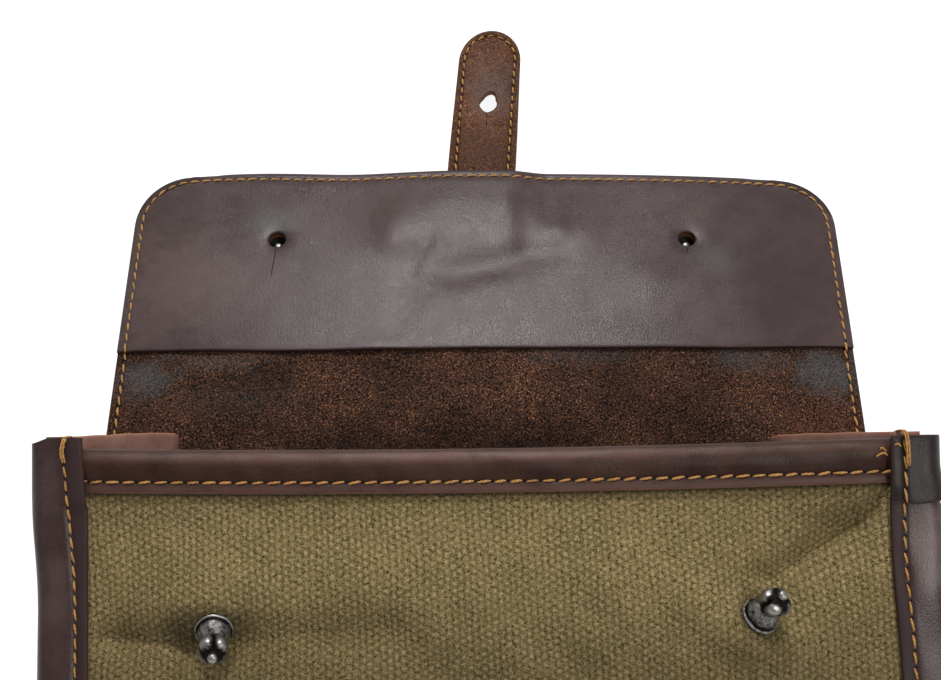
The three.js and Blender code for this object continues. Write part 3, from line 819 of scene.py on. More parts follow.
lowRows = gridLines(
    bottomY + 2, flapLength - flapCorner, flapLook["rows"],
    [*[holeLines(h["y"]) for h in keyholes[:1]], facingEdge + np.array([-3, -1, 0, 1])]
)
x, y, holeRim, raw, kept = flapGrid(np.concatenate([lowRows, cornerRows]), flapLook["columns"])
rim = np.minimum(np.minimum(flapRim(x, y), holeRim), y - bottomY - 2)
seam = flapSeam(x, y)
middle = flapPlace(x, y, backLevel)
middle[..., 2] += flapLook["ripple"] * ripples(x, y, 16, 3) * smooth(4, 14, rim) * smooth(-10, 40, y)
middle[..., 2] -= flapLook["trough"] * np.exp(-(seam[..., 1] / 1.1) ** 2)
back = wallMesh(
    "backAndFlap", middle, leather, rim, [suedeFinish, outerFinish], {"seam": seam}, kept,
    values={"raw": raw}
)
settle(back, "suede_leather", "back_and_flap")
print("back and flap made")

# Facing: follows the flap and rises over the tab's held end, with creases beside it and sunken stitches
facingLook = {
    "tabX": -1.2, "tabHalf": 13.0, "tabLap": 30.0, "pressed": 0.25, "thin": 0.35, "rows": 1.2,
    "columns": 1.25, "ripple": 0.015, "trough": 0.45, "tuck": 0.5, "holeDip": 0.35, "edgeRise": 2.3,
    "edgeDrop": 1.1, "edgeDip": (-66, 40, 0.9), "edgeLift": (85, 130, 1.2), "edgeWave": 0.12,
    "creases": [
        (-18, 104, -23, 92, 1.5, -0.10), (-23, 92, -31, 76, 1.7, -0.10), (-20, 108, -20, 104, 2.0, 0.15),
        (-34, 112, -34, 106, 5, 0.5), (27, 110, 27, 107, 5, 0.4), (33, 117, 32, 113, 5, -0.25),
        (14, 126, 15, 102, 4, -0.3)
    ]
}


# The tab is pressed thinner at the flap's edge and pared thin under the facing
def tabDepth(y):
    pressed = facingLook["pressed"] * smooth(flapLength + 14, flapLength + 1, y)
    pared = facingLook["thin"] * smooth(flapLength - 12, flapLength - facingLook["tabLap"], y)
    return tabThick * (1 - pressed - pared)


def overTab(x, y):
    beside = np.abs(x - facingLook["tabX"]) - facingLook["tabHalf"]
    fade = np.where(x < facingLook["tabX"], smooth(44, -6, beside), smooth(13, -4, beside))
    heldFrom = flapLength - facingLook["tabLap"]
    return (tabDepth(y) + gap) * fade * smooth(heldFrom - 16, heldFrom + 6, y)


def facingLevel(x, y):
    return (
        flapLift(x, y) + leather + gap + facing / 2 + overTab(x, y)
        + relief(facingLook["creases"], x, y) * smooth(3, 8, flapLength - y)
    )


lowRows = gridLines(facingEdge, flapLength - flapCorner, facingLook["rows"], [holeLines(keyholes[0]["y"])])
x, y, holeRim, raw, kept = flapGrid(np.concatenate([lowRows, cornerRows]), facingLook["columns"])
outline = flapRim(x, y)
rim = np.minimum(np.minimum(outline, holeRim), y - facingEdge)
seam = flapSeam(x, y)
middle = flapPlace(x, y, facingLevel)
dipX, dipWidth, dip = facingLook["edgeDip"]
liftFrom, liftTo, lift = facingLook["edgeLift"]
edgeShift = facingLook["edgeRise"] * np.abs(x / flapHalf) ** 4 - facingLook["edgeDrop"]
edgeShift = edgeShift - dip * np.exp(-((x - dipX) / dipWidth) ** 2) + lift * smooth(liftFrom, liftTo, x)
middle[..., 1] += edgeShift * smooth(14, 0, y - facingEdge)
middle[..., 2] += facingLook["ripple"] * ripples(x, y, 13, 5) * smooth(3, 12, rim)
middle[..., 2] += facingLook["edgeWave"] * ripples(x, 0 * y, 30, 8) * smooth(8, 0, y - facingEdge)
middle[..., 2] -= (
    facingLook["trough"] * np.exp(-(seam[..., 1] / 1.2) ** 2) + facingLook["tuck"] * smooth(2.6, 0, outline)
)
middle[..., 2] -= facingLook["holeDip"] * np.exp(-(holeRim / 2.2) ** 2) * (holeRim < 90)
settle(
    wallMesh("flapFacing", middle, facing, rim, [facingFinish], {"seam": seam}, kept, values={"raw": raw}),
    "facing_leather", "flap_facing"
)
print("facing made")

# Tab: a strap between flap and facing that narrows a little, leans right and rises to a rounded tip
tabLook = {
    "half": facingLook["tabHalf"], "reach": 69.7, "lap": facingLook["tabLap"], "lean": 0.065,
    "taper": 0.85, "rise": 0.07, "round": 15.0, "tipSlack": 0.15, "tipRim": 13.5, "ripple": 0.12,
    "trough": 0.3, "inset": 3.0, "pitch": 3.9, "holeY": 170.7, "holeX": 0.5, "slit": 11.0
}
tabTip = flapLength + tabLook["reach"]
tabHole = {
    "x": tabLook["holeX"], "y": tabLook["holeY"], "slit": tabLook["slit"], "cut": False,
    "turns": [0, 35, 72, 98, 125, 155, 180, 225, 268, 305, 360],
    "radii": [3.7, 3.7, 5.6, 4.4, 3.1, 3.0, 3.3, 3.4, 4.4, 4.0, 3.7]
}


def tabHalf(y):
    into = np.maximum(0, y - tabTip + tabLook["round"]) / (tabLook["round"] + tabLook["tipSlack"])
    return (tabLook["half"] - tabLook["taper"] * smooth(flapLength, tabTip, y)) * np.sqrt(1 - into ** 2)


def tabPlace(x, y, lift=0.0):
    wide = facingLook["tabX"] + tabLook["lean"] * (y - flapLength) + x / tabLook["half"] * tabHalf(y)
    level = flapLift(wide, np.minimum(y, flapLength)) + leather + gap + tabDepth(y) / 2
    level = level + tabLook["rise"] * np.maximum(0, y - flapLength)
    return np.stack([wide, y + 0 * x, level + lift], -1)


tipTurn = np.linspace(0, np.pi / 2, 18)[1:]
tipFrom = tabTip - tabLook["round"]
rows = gridLines(flapLength - tabLook["lap"], tipFrom, 1.1, [holeLines(tabHole["y"])])
rows = np.concatenate([rows, tabTip - tabLook["round"] * (1 - np.sin(tipTurn))])
cols = gridLines(-tabLook["half"], tabLook["half"], 0.9, [holeLines(tabHole["x"])])
flatX, flatY = np.meshgrid(cols, rows)
x, y, holeRim, raw = openHole(flatX, flatY, tabHole)
outY = np.maximum(0, y - tabTip + tabLook["round"])
narrowed = np.sqrt(np.maximum(0, 1 - (outY / (tabLook["round"] + tabLook["tipSlack"])) ** 2))
tipRim = (1 - np.hypot(x / tabLook["half"] * narrowed, outY / tabLook["round"])) * tabLook["tipRim"]
outline = np.where(outY > 0, tipRim, tabLook["half"] - np.abs(x))
rim = np.minimum(np.minimum(np.maximum(outline, 0), holeRim), y - flapLength + tabLook["lap"])
inset = tabLook["half"] - tabLook["inset"]
upY = np.linspace(flapLength + 2.5, tipFrom, 160)[:-1]
tipArc = np.linspace(0, np.pi, 120)
tipLine = np.stack(
    [inset * np.cos(tipArc), tipFrom + (tabLook["round"] - tabLook["inset"]) * np.sin(tipArc)], -1
)
upLine, downLine = np.stack([0 * upY + inset, upY], -1), np.stack([0 * upY - inset, upY[::-1]], -1)
tabLine = np.concatenate([upLine, tipLine, downLine])
seam = seamMap(x * tabHalf(y) / tabLook["half"], y, tabLine, tabLook["pitch"])
lift = (
    tabLook["ripple"] * ripples(x, y, 9, 11) * smooth(0, 5, rim)
    - tabLook["trough"] * np.exp(-seam[..., 1] ** 2)
)
middle = tabPlace(x, y, lift)
settle(
    wallMesh(
        "closingTab", middle, tabDepth(y), rim, [tabFinish, outerFinish], {"seam": seam},
        ~holeCells(cols, rows, tabHole), values={"raw": raw}
    ),
    "suede_leather", "closing_tab"
)
print("tab made")

# Front canvas: a shallow bulge with folds. Each stud is its x, distance down and how the cloth leans there
clothLook = {
    "folds": [
        (112, 149.5, 80, 123.6, 6, -2.4), (100, 141, 77, 125, 11, -2.2), (-114, 112, -88, 111, 6, -3.4),
        (-70, 111.5, -28, 113, 7, -3.0), (-60, 128, 30, 134, 18, 1.6), (24, 86, 66, 104, 10, -1.6)
    ],
    "studs": [(-77.7, 49.2, -0.25, 0.58), (73.8, 48.4, -0.4, -0.72)], "tabStudDrop": 111, "step": 1.15,
    "ripple": 0.22, "underHem": 12.5, "foot": 1.5, "head": 2.6,
    "pulls": [(113, 150, 88, 130.2, 4, -2.8), (-114, 112, -88, 111.5, 3, -2.0), (110, 128, 96, 114, 6, 0.8)]
}
studSeats = [(sx, frontHeight - drop, leanX, leanY) for sx, drop, leanX, leanY in clothLook["studs"]]


# Height of the cloth. It leans round each stud by its slopes over 1 + (distance / 10)⁴. Folds fade towards
# the edges and at the studs, and pulls run on closer to the hem and the bindings
def clothLevel(x, s):
    side, hemEdge = np.abs(x), frontHeight - clothLook["underHem"]
    inside = smooth(sideEdge - 8, 60, side) * smooth(14, 60, s) * smooth(hemEdge, frontHeight - 45, s)
    edge = smooth(sideEdge - 9, sideEdge - 20, side) * smooth(15, 24, s) * smooth(hemEdge, hemEdge - 11, s)
    leaning, flat = 0, 1
    for sx, sy, leanX, leanY in studSeats:
        away = np.hypot(x - sx, s - sy)
        leaning = (
            leaning + (leanX * (x - sx) + leanY * (s - sy)) / (1 + (away / 10) ** 4) * smooth(36, 18, away)
        )
        flat = flat * smooth(6, 13, away)
    pulled = (
        smooth(sideEdge - 9.5, sideEdge - 13, side) * smooth(frontHeight - 12, frontHeight - 15, s)
        * smooth(15, 24, s)
    )
    folded = edge * (leaning + flat * relief(clothLook["folds"], x, s))
    return pouch["frontBulge"] * inside + folded + pulled * flat * relief(clothLook["pulls"], x, s)


cols = gridLines(-sideEdge, sideEdge, clothLook["step"])
rows = gridLines(clothLook["foot"], frontHeight - clothLook["head"], clothLook["step"])
x, s = np.meshgrid(cols, rows)
nearStud = np.minimum(*[np.hypot(x - sx, s - sy) for sx, sy, _, _ in studSeats])
fine = clothLook["ripple"] * ripples(x, s, 15, 21) * smooth(sideEdge - 9, sideEdge - 20, np.abs(x))
fine = fine * smooth(frontHeight - clothLook["underHem"], frontHeight - 21, s) * smooth(6, 14, nearStud)
middle = onFront(x, s, canvas / 2 + clothLevel(x, s) + fine)
cloth = wallMesh(
    "frontCanvas", middle, canvas, np.full(x.shape, 9.0), [canvasFinish], {"flat": np.stack([x, s], -1)}
)
settle(cloth, "canvas", "front_panel")
(2 * sideEdge) * mm
print("canvas made")

# Hem: leather rolled over the canvas's top edge, padded along its top, flat where it is sewn
hemLook = {
    "roll": [
        (11.5, 2.9), (8.3, 2.7), (6.6, 3.0), (4.6, 3.5), (2.2, 3.4), (0.1, 2.1), (0.0, 0.1), (2.2, -1.8),
        (5.5, -1.7), (8.5, -1.1), (12, -1.1)
    ],
    "stitchDown": 8.3, "stitchLevel": 2.7, "pitch": 4.5, "ripple": 0.2, "edgeRipple": 0.12, "trough": 0.3,
    "shine": (-10, 70), "wearAndSheen": 0.42, "paleEdge": 0.16
}
section = smoothLine(hemLook["roll"], 6)
run = runAlong(section)
lines = gridLines(0, run[-1], 0.75)
down, out = (np.interp(lines, run, section[:, i]) for i in (0, 1))
cols = gridLines(-hemHalf, hemHalf, 1.4)
x, d = np.meshgrid(cols, down)
n = np.meshgrid(cols, out)[1]
along = np.meshgrid(cols, lines)[1]
tucked = smooth(hemHalf - 5, hemHalf - 1.5, np.abs(x))
roundTop = smooth(9, 4, d)
puff = (
    hemLook["ripple"] * ripples(x, along * 1.6, 20, 31) * roundTop
    + hemLook["edgeRipple"] * ripples(x, 0 * x, 12, 33) * smooth(3, 0, along)
)
stitchAway = np.where(n > 0.5, d - hemLook["stitchDown"], 50)
seam = np.stack([(x + hemHalf) / evenPitch(2 * hemHalf, hemLook["pitch"]), stitchAway], -1)
n = (
    n + puff * np.sign(n - 0.5) - hemLook["trough"] * np.exp(-(stitchAway / 0.9) ** 2) - tucked * (n > 0.5)
    + tucked * 0.3 * (n < 0)
)
rim = np.minimum(along, run[-1] - along)
# Painted highlight with some wear: a lighter band along the top of the roll, strongest near the middle
shineX, shineWidth = hemLook["shine"]
shine = 0.4 + 0.6 * np.exp(-((x - shineX) / shineWidth) ** 2)
wearAndSheen = hemLook["wearAndSheen"] * np.exp(-((d - 1.5) / 1.2) ** 2) * shine
# The lighter strip below the stitches is partly wear and partly painted light
pale = (n > 0.3) * (wearAndSheen + hemLook["paleEdge"] * smooth(9.0, 9.9, d))
rim = np.minimum(rim, hemHalf - np.abs(x))
middle = onFront(x, frontHeight - d - hemSag(x), n)
hem = wallMesh("frontHem", middle, trim, rim, [trimFinish], {"seam": seam}, values={"pale": pale})
settle(hem, "trim_leather", "front_hem")
print("hem made")

# Side bindings: a leaf on the cloth, a turn round the edge, a leaf behind; over the hem it lies higher
bindingLook = {
    "face": 13.5, "back": 8.0, "from": 16.0, "tops": {-1: 4.5, 1: 0.8}, "stitchIn": {-1: 3.5, 1: 3.7},
    "swell": {-1: (1.4, 168, 140), 1: (2.2, 151, 144.5)}, "spread": {-1: 1.7, 1: 0.0},
    "pitches": {-1: 3.9, 1: 4.5}, "ripple": 0.2, "trough": 0.28, "overHem": 1.15, "ragged": 0.18,
    "topInset": 0.2, "ridge": (0.12, 8.5, 2.6),
    "sheen": {
        -1: [(8, 120, 8, 131, 4, 0.14), (8, 150, 8, 158, 5, 0.1)],
        1: [(9.5, 127, 9.5, 142, 4, 0.45), (9.5, 98, 9.5, 106, 3.5, 0.15)]
    }
}


def bindingSection(spare, step):
    turnAt = bindingTurn + spare
    arc = np.linspace(np.pi / 2, -np.pi / 2, 17)
    middleN = (trimLevel + leafLevel) / 2
    bend = np.stack([sideEdge + turnAt * np.cos(arc), middleN + turnAt * np.sin(arc)], -1)
    outerEnd = (frontHalf - bindingLook["face"], trimLevel + spare)
    innerEnd = (frontHalf - bindingLook["back"], leafLevel - spare)
    line = np.concatenate([[outerEnd], bend, [innerEnd]])
    length = runAlong(line)
    at = gridLines(0, length[-1], step)
    return at, np.interp(at, length, line[:, 0]), np.interp(at, length, line[:, 1]), length[-1]


# Outer leaf's extra height where it lies over the hem, and its small unevenness
def bindingLift(along, s, side, outer):
    overHem = bindingLook["overHem"] * smooth(frontHeight - 17, frontHeight - 13.5, s) * smooth(7, 2, along)
    uneven = bindingLook["ripple"] * ripples(along * 2 + 40 * side, s, 22, 41) * smooth(0, 3, along)
    return outer * (overHem + uneven)


for side, name, node in ((-1, "bindingLeft", "binding_left"), (1, "bindingRight", "binding_right")):
    at, across, level, length = bindingSection(0.0, 0.8)
    top = frontHeight + bindingLook["tops"][side]
    rows = gridLines(bindingLook["from"], top, 1.5)
    along, s = np.meshgrid(at, rows)
    x, n = np.meshgrid(across, rows)[0] * side, np.meshgrid(level, rows)[0]
    outer = smooth(0.5, 2.0, n)
    ragged = bindingLook["ragged"] * ripples(along * 1.5, 0 * s, 9, 43 + side) - bindingLook["topInset"]
    ragged = ragged - (1.1 - 0.9 * side) * smooth(7, 14, along)
    s = s + ragged * smooth(top - 8, top, s)
    step = evenPitch(top - bindingLook["from"], bindingLook["pitches"][side])
    seam = np.stack(
        [(s - bindingLook["from"]) / step, np.where(n > 1, along - bindingLook["stitchIn"][side], 50)], -1
    )
    # Painted shade darkens the strip between the inner edge and the stitch line, and pale paints sheen
    # patches on the outer leaf
    shade = outer * smooth(0.3, -0.3, seam[..., 1])
    pale = outer * smooth(0.5, 3, seam[..., 1]) * relief(bindingLook["sheen"][side], along, s)
    n = n + bindingLift(along, s, side, outer) - bindingLook["trough"] * np.exp(-seam[..., 1] ** 2)
    ridge, ridgeAt, ridgeWidth = bindingLook["ridge"]
    n = n + ridge * outer * np.exp(-((along - ridgeAt) / ridgeWidth) ** 2)
    rim = np.minimum(
        np.minimum(along, length - along), np.minimum(s - bindingLook["from"], np.abs(top - s))
    )
    wide, fromS, toS = bindingLook["swell"][side]
    aside = wide * smooth(6, 13, along) * smooth(fromS, toS, s) * smooth(20, 60, s)
    aside = aside - bindingLook["spread"][side] * smooth(3, 0, along) * smooth(124, 150, s)
    middle = onFront(x + side * aside, s, n)
    middle, rim, seam, shade, pale = (v[:, ::side] for v in (middle, rim, seam, shade, pale))
    settle(
        wallMesh(
            name, middle, trim, rim, [bindingFinish], {"seam": seam}, values={"shade": shade, "pale": pale}
        ),
        "trim_leather", node
    )

# End cap: a second turn of leather over the right binding's top
capLook = {
    "length": 18.0, "spare": 1.6, "top": 1.6, "thick": 1.2, "flare": 1.4, "overHem": 1.0, "ripple": 0.14,
    "trough": 0.5, "pinch": 0.35, "liftedAtFace": 2.2, "liftedAtSide": 1.4
}
at, across, level, length = bindingSection(capLook["spare"], 0.8)
capFoot = frontHeight - capLook["length"]
rows = gridLines(capFoot, frontHeight + capLook["top"], 0.9)
along, s = np.meshgrid(at, rows)
x, n = np.meshgrid(across, rows)[0], np.meshgrid(level, rows)[0]
outer = smooth(0.5, 2.0, n)
low = smooth(capFoot + 12, capFoot, s)
lifted = capLook["liftedAtFace"] * (1 - np.clip(along / 12, 0, 1)) ** 2
drawn = s + low * (lifted + capLook["liftedAtSide"] * smooth(6, 14, along))
step = evenPitch(frontHeight + bindingLook["tops"][1] - bindingLook["from"], bindingLook["pitches"][1])
stitchAway = np.where(n > 1, along - bindingLook["stitchIn"][1], 50)
seam = np.stack([(drawn - bindingLook["from"]) / step, stitchAway], -1)
lift = capLook["overHem"] * smooth(frontHeight - 17, frontHeight - 12, drawn) * smooth(7, 2, along)
lift = (
    lift + capLook["ripple"] * ripples(along, drawn, 17, 53) - capLook["trough"] * np.exp(-stitchAway ** 2)
)
n = n + outer * (lift - low * capLook["pinch"])
rim = np.minimum(np.minimum(along, length - along), np.minimum(s - rows[0], rows[-1] - s))
middle = onFront(x + capLook["flare"] * low * smooth(6, 13, along), drawn, n)
endCap = wallMesh("bindingEndRight", middle, capLook["thick"], rim, [capFinish], {"seam": seam})
settle(endCap, "trim_leather", "binding_end_right")
print("bindings made")

# Bottom binding: under the back, round the seam and up on the cloth
seamLook = {
    "reach": 6.0, "underLeaf": 14.5, "frontLeaf": 15.4, "pitch": 4.5, "stitchIn": 4.0, "over": 0.6,
    "ripple": 0.2, "trough": 0.35
}
cols = gridLines(-frontHalf, frontHalf, 1.8)
seamY, overZ = bottomY - seamLook["reach"], pouch["frontRise"] + seamLook["over"]
corners = [(bottomY + seamLook["underLeaf"], trim / 2), (seamY, trim / 2), (seamY, overZ)]
corners = [np.stack(np.broadcast_arrays(cols, *corner), -1) for corner in corners]
middle = roundedLines(
    np.stack([*corners, onFront(cols, seamLook["frontLeaf"], trimLevel)], 1), 4, 6, (14, 6, 18)
)
length = runAcross(middle)
fromTop = length[:, -1:] - length
xs = np.broadcast_to(cols[:, None], fromTop.shape)
seam = np.stack(
    [(xs + frontHalf) / evenPitch(2 * frontHalf, seamLook["pitch"]), fromTop - seamLook["stitchIn"]], -1
)
lift = (
    seamLook["ripple"] * ripples(xs, fromTop * 2, 20, 61) - seamLook["trough"] * np.exp(-seam[..., 1] ** 2)
)
lift = smooth(22, 16, fromTop) * lift
middle = middle + lift[..., None] * (0, -slopeSin, slopeCos)
rim = np.minimum(np.minimum(fromTop, length), frontHalf - np.abs(xs))
settle(
    wallMesh("bindingBottom", middle[::-1], trim, rim[::-1], [bindingFinish], {"seam": seam[::-1]}),
    "trim_leather", "binding_bottom"
)

# Gussets: flange on the front, fold inwards to a crease, flange on the back; the ear stands past the front
gussetLook = {-1: {"reach": 30, "ear": 14.2, "top": 6.2}, 1: {"reach": 38, "ear": 12.4, "top": 4.2}}
gussetFold = {
    "frontFlange": 11.5, "backFlange": 14, "footReach": 21, "ripple": 0.35, "creaseHalf": (1.3, 2.7)
}
footReach, (creaseFoot, creaseGrowth) = gussetFold["footReach"], gussetFold["creaseHalf"]
bisector = np.radians(pouch["frontSlope"] / 2)
for side, name, node in ((-1, "gussetLeft", "gusset_left"), (1, "gussetRight", "gusset_right")):
    look = gussetLook[side]
    backY = gridLines(bottomY + 2, -1.4, 1.8)
    up = backY - bottomY
    k = up / frontHeight
    frontUp = up + look["top"] * k ** 6
    backZ = backLift(backY) + leather + gap + trim / 2
    over = np.array((0, -np.sin(bisector), np.cos(bisector))) * (creaseFoot + creaseGrowth * k)[:, None]
    frontBend = onFront(0 * k + side * (frontHalf - gussetFold["frontFlange"]), frontUp, flangeLevel)
    backBend = np.stack([side * (halfWidth(backY) - gussetFold["backFlange"]), backY, backZ], -1)
    crease = (frontBend + backBend) / 2
    crease[:, 0] = side * (frontHalf - footReach - (look["reach"] - footReach) * smooth(0, 1.1, k))
    crease += np.array((0, np.cos(bisector), np.sin(bisector))) * (look["ear"] * k ** 3)[:, None]
    frontEdge = onFront(0 * k + side * sideEdge, frontUp, flangeLevel)
    backEdge = np.stack([side * (halfWidth(backY) - gap), backY, backZ], -1)
    corners = np.stack([frontEdge, frontBend, crease + over, crease - over, backBend, backEdge], 1)
    middle = roundedLines(corners, 5, 6, (8, 18, 5, 18, 10))
    length = runAcross(middle)
    ups = np.broadcast_to(up[:, None], length.shape)
    free = smooth(10, 20, length) * smooth(10, 20, length[:, -1:] - length)
    middle[..., 2] += (
        gussetFold["ripple"] * free * ripples(length, ups, 17, 71 + side)
        * smooth(0.1, 0.6, ups / frontHeight)
    )
    rim = np.minimum(np.minimum(length, length[:, -1:] - length), np.minimum(ups - 2, up.max() - ups))
    settle(wallMesh(name, middle[:, ::side], trim, rim[:, ::side], [gussetFinish]), "gusset_leather", node)
print("gussets made")

# Stitches: beads of two-ply thread that arch out of the leather and dive in at both ends
stitchLook = {
    "thick": 0.74, "arch": 0.34, "sides": 7, "stations": 9, "turns": 1.5, "wide": 1.05, "high": 0.82,
    "ply": 0.05, "slantSpread": 3.0, "lengthSpread": 0.06, "thickSpread": 0.06, "riseSpread": 0.05
}


# Four-sided faces of a tube with that many stations and sides
def tubeFaces(stations, sides):
    at = np.arange(stations * sides).reshape(stations, sides)
    nextAt = np.roll(at, -1, 1)
    return np.stack([at[:-1], at[1:], nextAt[1:], nextAt[:-1]], -1).reshape(-1, 4)


# One mesh of thread from lists of points, faces and lay maps, its open ends closed
def threadMesh(name, points, faces, maps):
    faces, lay = np.concatenate(faces), {"lay": np.concatenate(maps)}
    made = putMesh(name, np.concatenate(points), faces, lay, {}, [threadFinish], np.zeros(len(faces)), 80)
    return settle(mend(made, False), "canvas")


# Places one bead per pitch along each line, a little uneven in length, slant and height. Each row is its
# line, its normals, pitch, share of the pitch, slant in degrees and scale
def stitchMesh(name, rows):
    rng = np.random.default_rng(91)
    t = np.linspace(-0.5, 0.5, stitchLook["stations"])[:, None]
    turn = np.linspace(0, 2 * np.pi, stitchLook["sides"], endpoint=False)[None, :]
    ply = 1 + stitchLook["ply"] * np.cos(2 * turn + 2 * np.pi * stitchLook["turns"] * t)
    end = np.sqrt(np.clip(1 - (2 * np.abs(t)) ** 2.6, 0.08, 1))
    points, faces, maps, count = [], [], [], 0
    size = stitchLook["stations"] * stitchLook["sides"]
    shell = tubeFaces(stitchLook["stations"], stitchLook["sides"])
    lay = np.stack([t + 0.5 + 0 * turn, turn / (2 * np.pi) + 0 * t], -1).reshape(-1, 2)
    for line, out, pitch, length, slant, scale in rows:
        run = runAlong(line)
        number = int(run[-1] // pitch)
        middleAt = (np.arange(number) + 0.5) * run[-1] / number
        pick = lambda v, s: np.stack([np.interp(s, run, v[:, i]) for i in range(3)], -1)
        foot, normal = pick(line, middleAt), pick(out, middleAt)
        ahead = pick(line, middleAt + 0.8) - pick(line, middleAt - 0.8)
        normal /= np.linalg.norm(normal, axis=1, keepdims=True)
        ahead -= normal * (ahead * normal).sum(1, keepdims=True)
        ahead /= np.linalg.norm(ahead, axis=1, keepdims=True)
        across = np.cross(normal, ahead)
        each = (number, 1, 1)
        tilt = np.radians(slant + rng.normal(0, stitchLook["slantSpread"], (number, 1)))
        cosTilt, sinTilt = np.cos(tilt), np.sin(tilt)
        ahead, across = ahead * cosTilt + across * sinTilt, across * cosTilt - ahead * sinTilt
        long = length * run[-1] / number * (1 + rng.normal(0, stitchLook["lengthSpread"], each))
        thick = stitchLook["thick"] / 2 * scale * (1 + rng.normal(0, stitchLook["thickSpread"], each))
        rise = stitchLook["arch"] * scale * (1 - (2 * t[None]) ** 2 * 1.5)
        rise = rise + rng.normal(0, stitchLook["riseSpread"], each)
        side = thick * stitchLook["wide"] * ply * end * np.cos(turn)
        high = rise + thick * stitchLook["high"] * ply * end * np.sin(turn)
        bead = foot[:, None, None] + ahead[:, None, None] * (long * t + 0 * turn[None])[..., None]
        bead = bead + across[:, None, None] * side[..., None] + normal[:, None, None] * high[..., None]
        points.append(bead.reshape(-1, 3))
        faces.append((shell[None] + (count + np.arange(number) * size)[:, None, None]).reshape(-1, 4))
        maps.append(np.tile(lay, (number, 1)))
        count += number * size
    return threadMesh(name, points, faces, maps)


# Normal of a height field, from small steps to either side
def fieldNormal(level, x, y):
    leanX = level(x - 0.5, y) - level(x + 0.5, y)
    leanY = level(x, y - 0.5) - level(x, y + 0.5)
    return np.stack([leanX, leanY, 1 + 0 * x], -1)


def stitchedTop(fx, fy):
    onFacing = fy > facingEdge
    return np.where(
        onFacing, facingLevel(fx, fy) + facing / 2 - facingLook["trough"],
        backLevel(fx, fy) + leather / 2 - flapLook["trough"]
    )


lineX, lineY = flapLine.T
reach = flapEdge(lineX / halfWidth(lineY), lineY)
flapStitchLine = np.stack([lineX, reach, stitchedTop(lineX, reach)], -1)
flapOut = fieldNormal(stitchedTop, lineX, reach) * (0.3, 0.3, 1)
stitchMesh("flapStitches", [(flapStitchLine, flapOut, flapLook["pitch"], 0.90, 7, 1.05)])

tabX, tabY = tabLine.T
tabTop = tabPlace(tabX * tabLook["half"] / tabHalf(tabY), tabY, tabThick / 2 - tabLook["trough"])
tabOut = np.tile((0.0, -tabLook["rise"], 1.0), (len(tabTop), 1))
stitchMesh("tabStitches", [(tabTop, tabOut, tabLook["pitch"], 0.78, 8, 0.92)])

frontOut = np.array((0, -slopeSin, slopeCos))
hemX = np.linspace(-hemHalf, hemHalf, 300)
hemLevel = hemLook["stitchLevel"] + trim / 2 - hemLook["trough"]
hemTop = onFront(hemX, frontHeight - hemLook["stitchDown"] - hemSag(hemX), hemLevel)
rows = [(hemTop, np.tile(frontOut, (300, 1)), hemLook["pitch"], 0.90, 7, 0.95)]
for side in (-1, 1):
    s = np.linspace(bindingLook["from"], frontHeight + bindingLook["tops"][side], 200)
    high = trimLevel + trim / 2 - 0.3 + bindingLift(0 * s + bindingLook["stitchIn"][side], s, side, 1.0)
    if side > 0:
        high = high + smooth(capFoot + 1, capFoot + 3, s) * (capLook["spare"] - 0.2)
    seamLine = onFront(side * (frontHalf - bindingLook["face"] + bindingLook["stitchIn"][side]), s, high)
    rows.append((seamLine, np.tile(frontOut, (200, 1)), bindingLook["pitches"][side], 0.86, 8, 0.95))
bottomX = np.linspace(-frontHalf, frontHalf, 300)
seamLine = onFront(bottomX, seamLook["frontLeaf"] - seamLook["stitchIn"], trimLevel + trim / 2 - 0.25)
rows.append((seamLine, np.tile(frontOut, (300, 1)), seamLook["pitch"], 0.88, 7, 1.05))
stitchMesh("frontStitches", rows)
print("stitches made")

# Lashed thread over the top of both bindings, and three loose ends on the right
lashLook = {
    "thick": 0.6, "sides": 10, "strands": (-0.34, 0.3), "ply": 0.12, "twist": 40, "blunt": 30, "lays": 4,
    "left": [
        (-117.0, 161.5, 4.6), (-117.2, 163.6, 5.5), (-117.1, 166.0, 5.6), (-116.6, 168.2, 4.8),
        (-116.4, 168.9, 1.5), (-116.4, 168.3, -2.8), (-116.4, 165.0, -4.4)
    ],
    "right": [
        (117.9, 157.5, 6.6), (117.6, 161.0, 7.6), (117.4, 164.5, 7.6), (117.2, 166.9, 6.2),
        (117.2, 167.4, 2.0), (117.2, 166.6, -4.2), (117.2, 163.0, -6.0)
    ],
    "loose": [
        [(112.6, 160.6, 4.4), (111.6, 161.2, 5.2), (110.4, 161.0, 5.4), (109.2, 160.2, 5.1)],
        [(112.4, 161.6, 4.2), (111.5, 162.3, 5.0), (110.9, 162.6, 5.2), (110.4, 162.4, 5.1)],
        [(115.6, 163.0, 7.0), (115.0, 163.6, 7.7), (114.4, 163.7, 7.8), (113.9, 163.4, 7.4)]
    ]
}


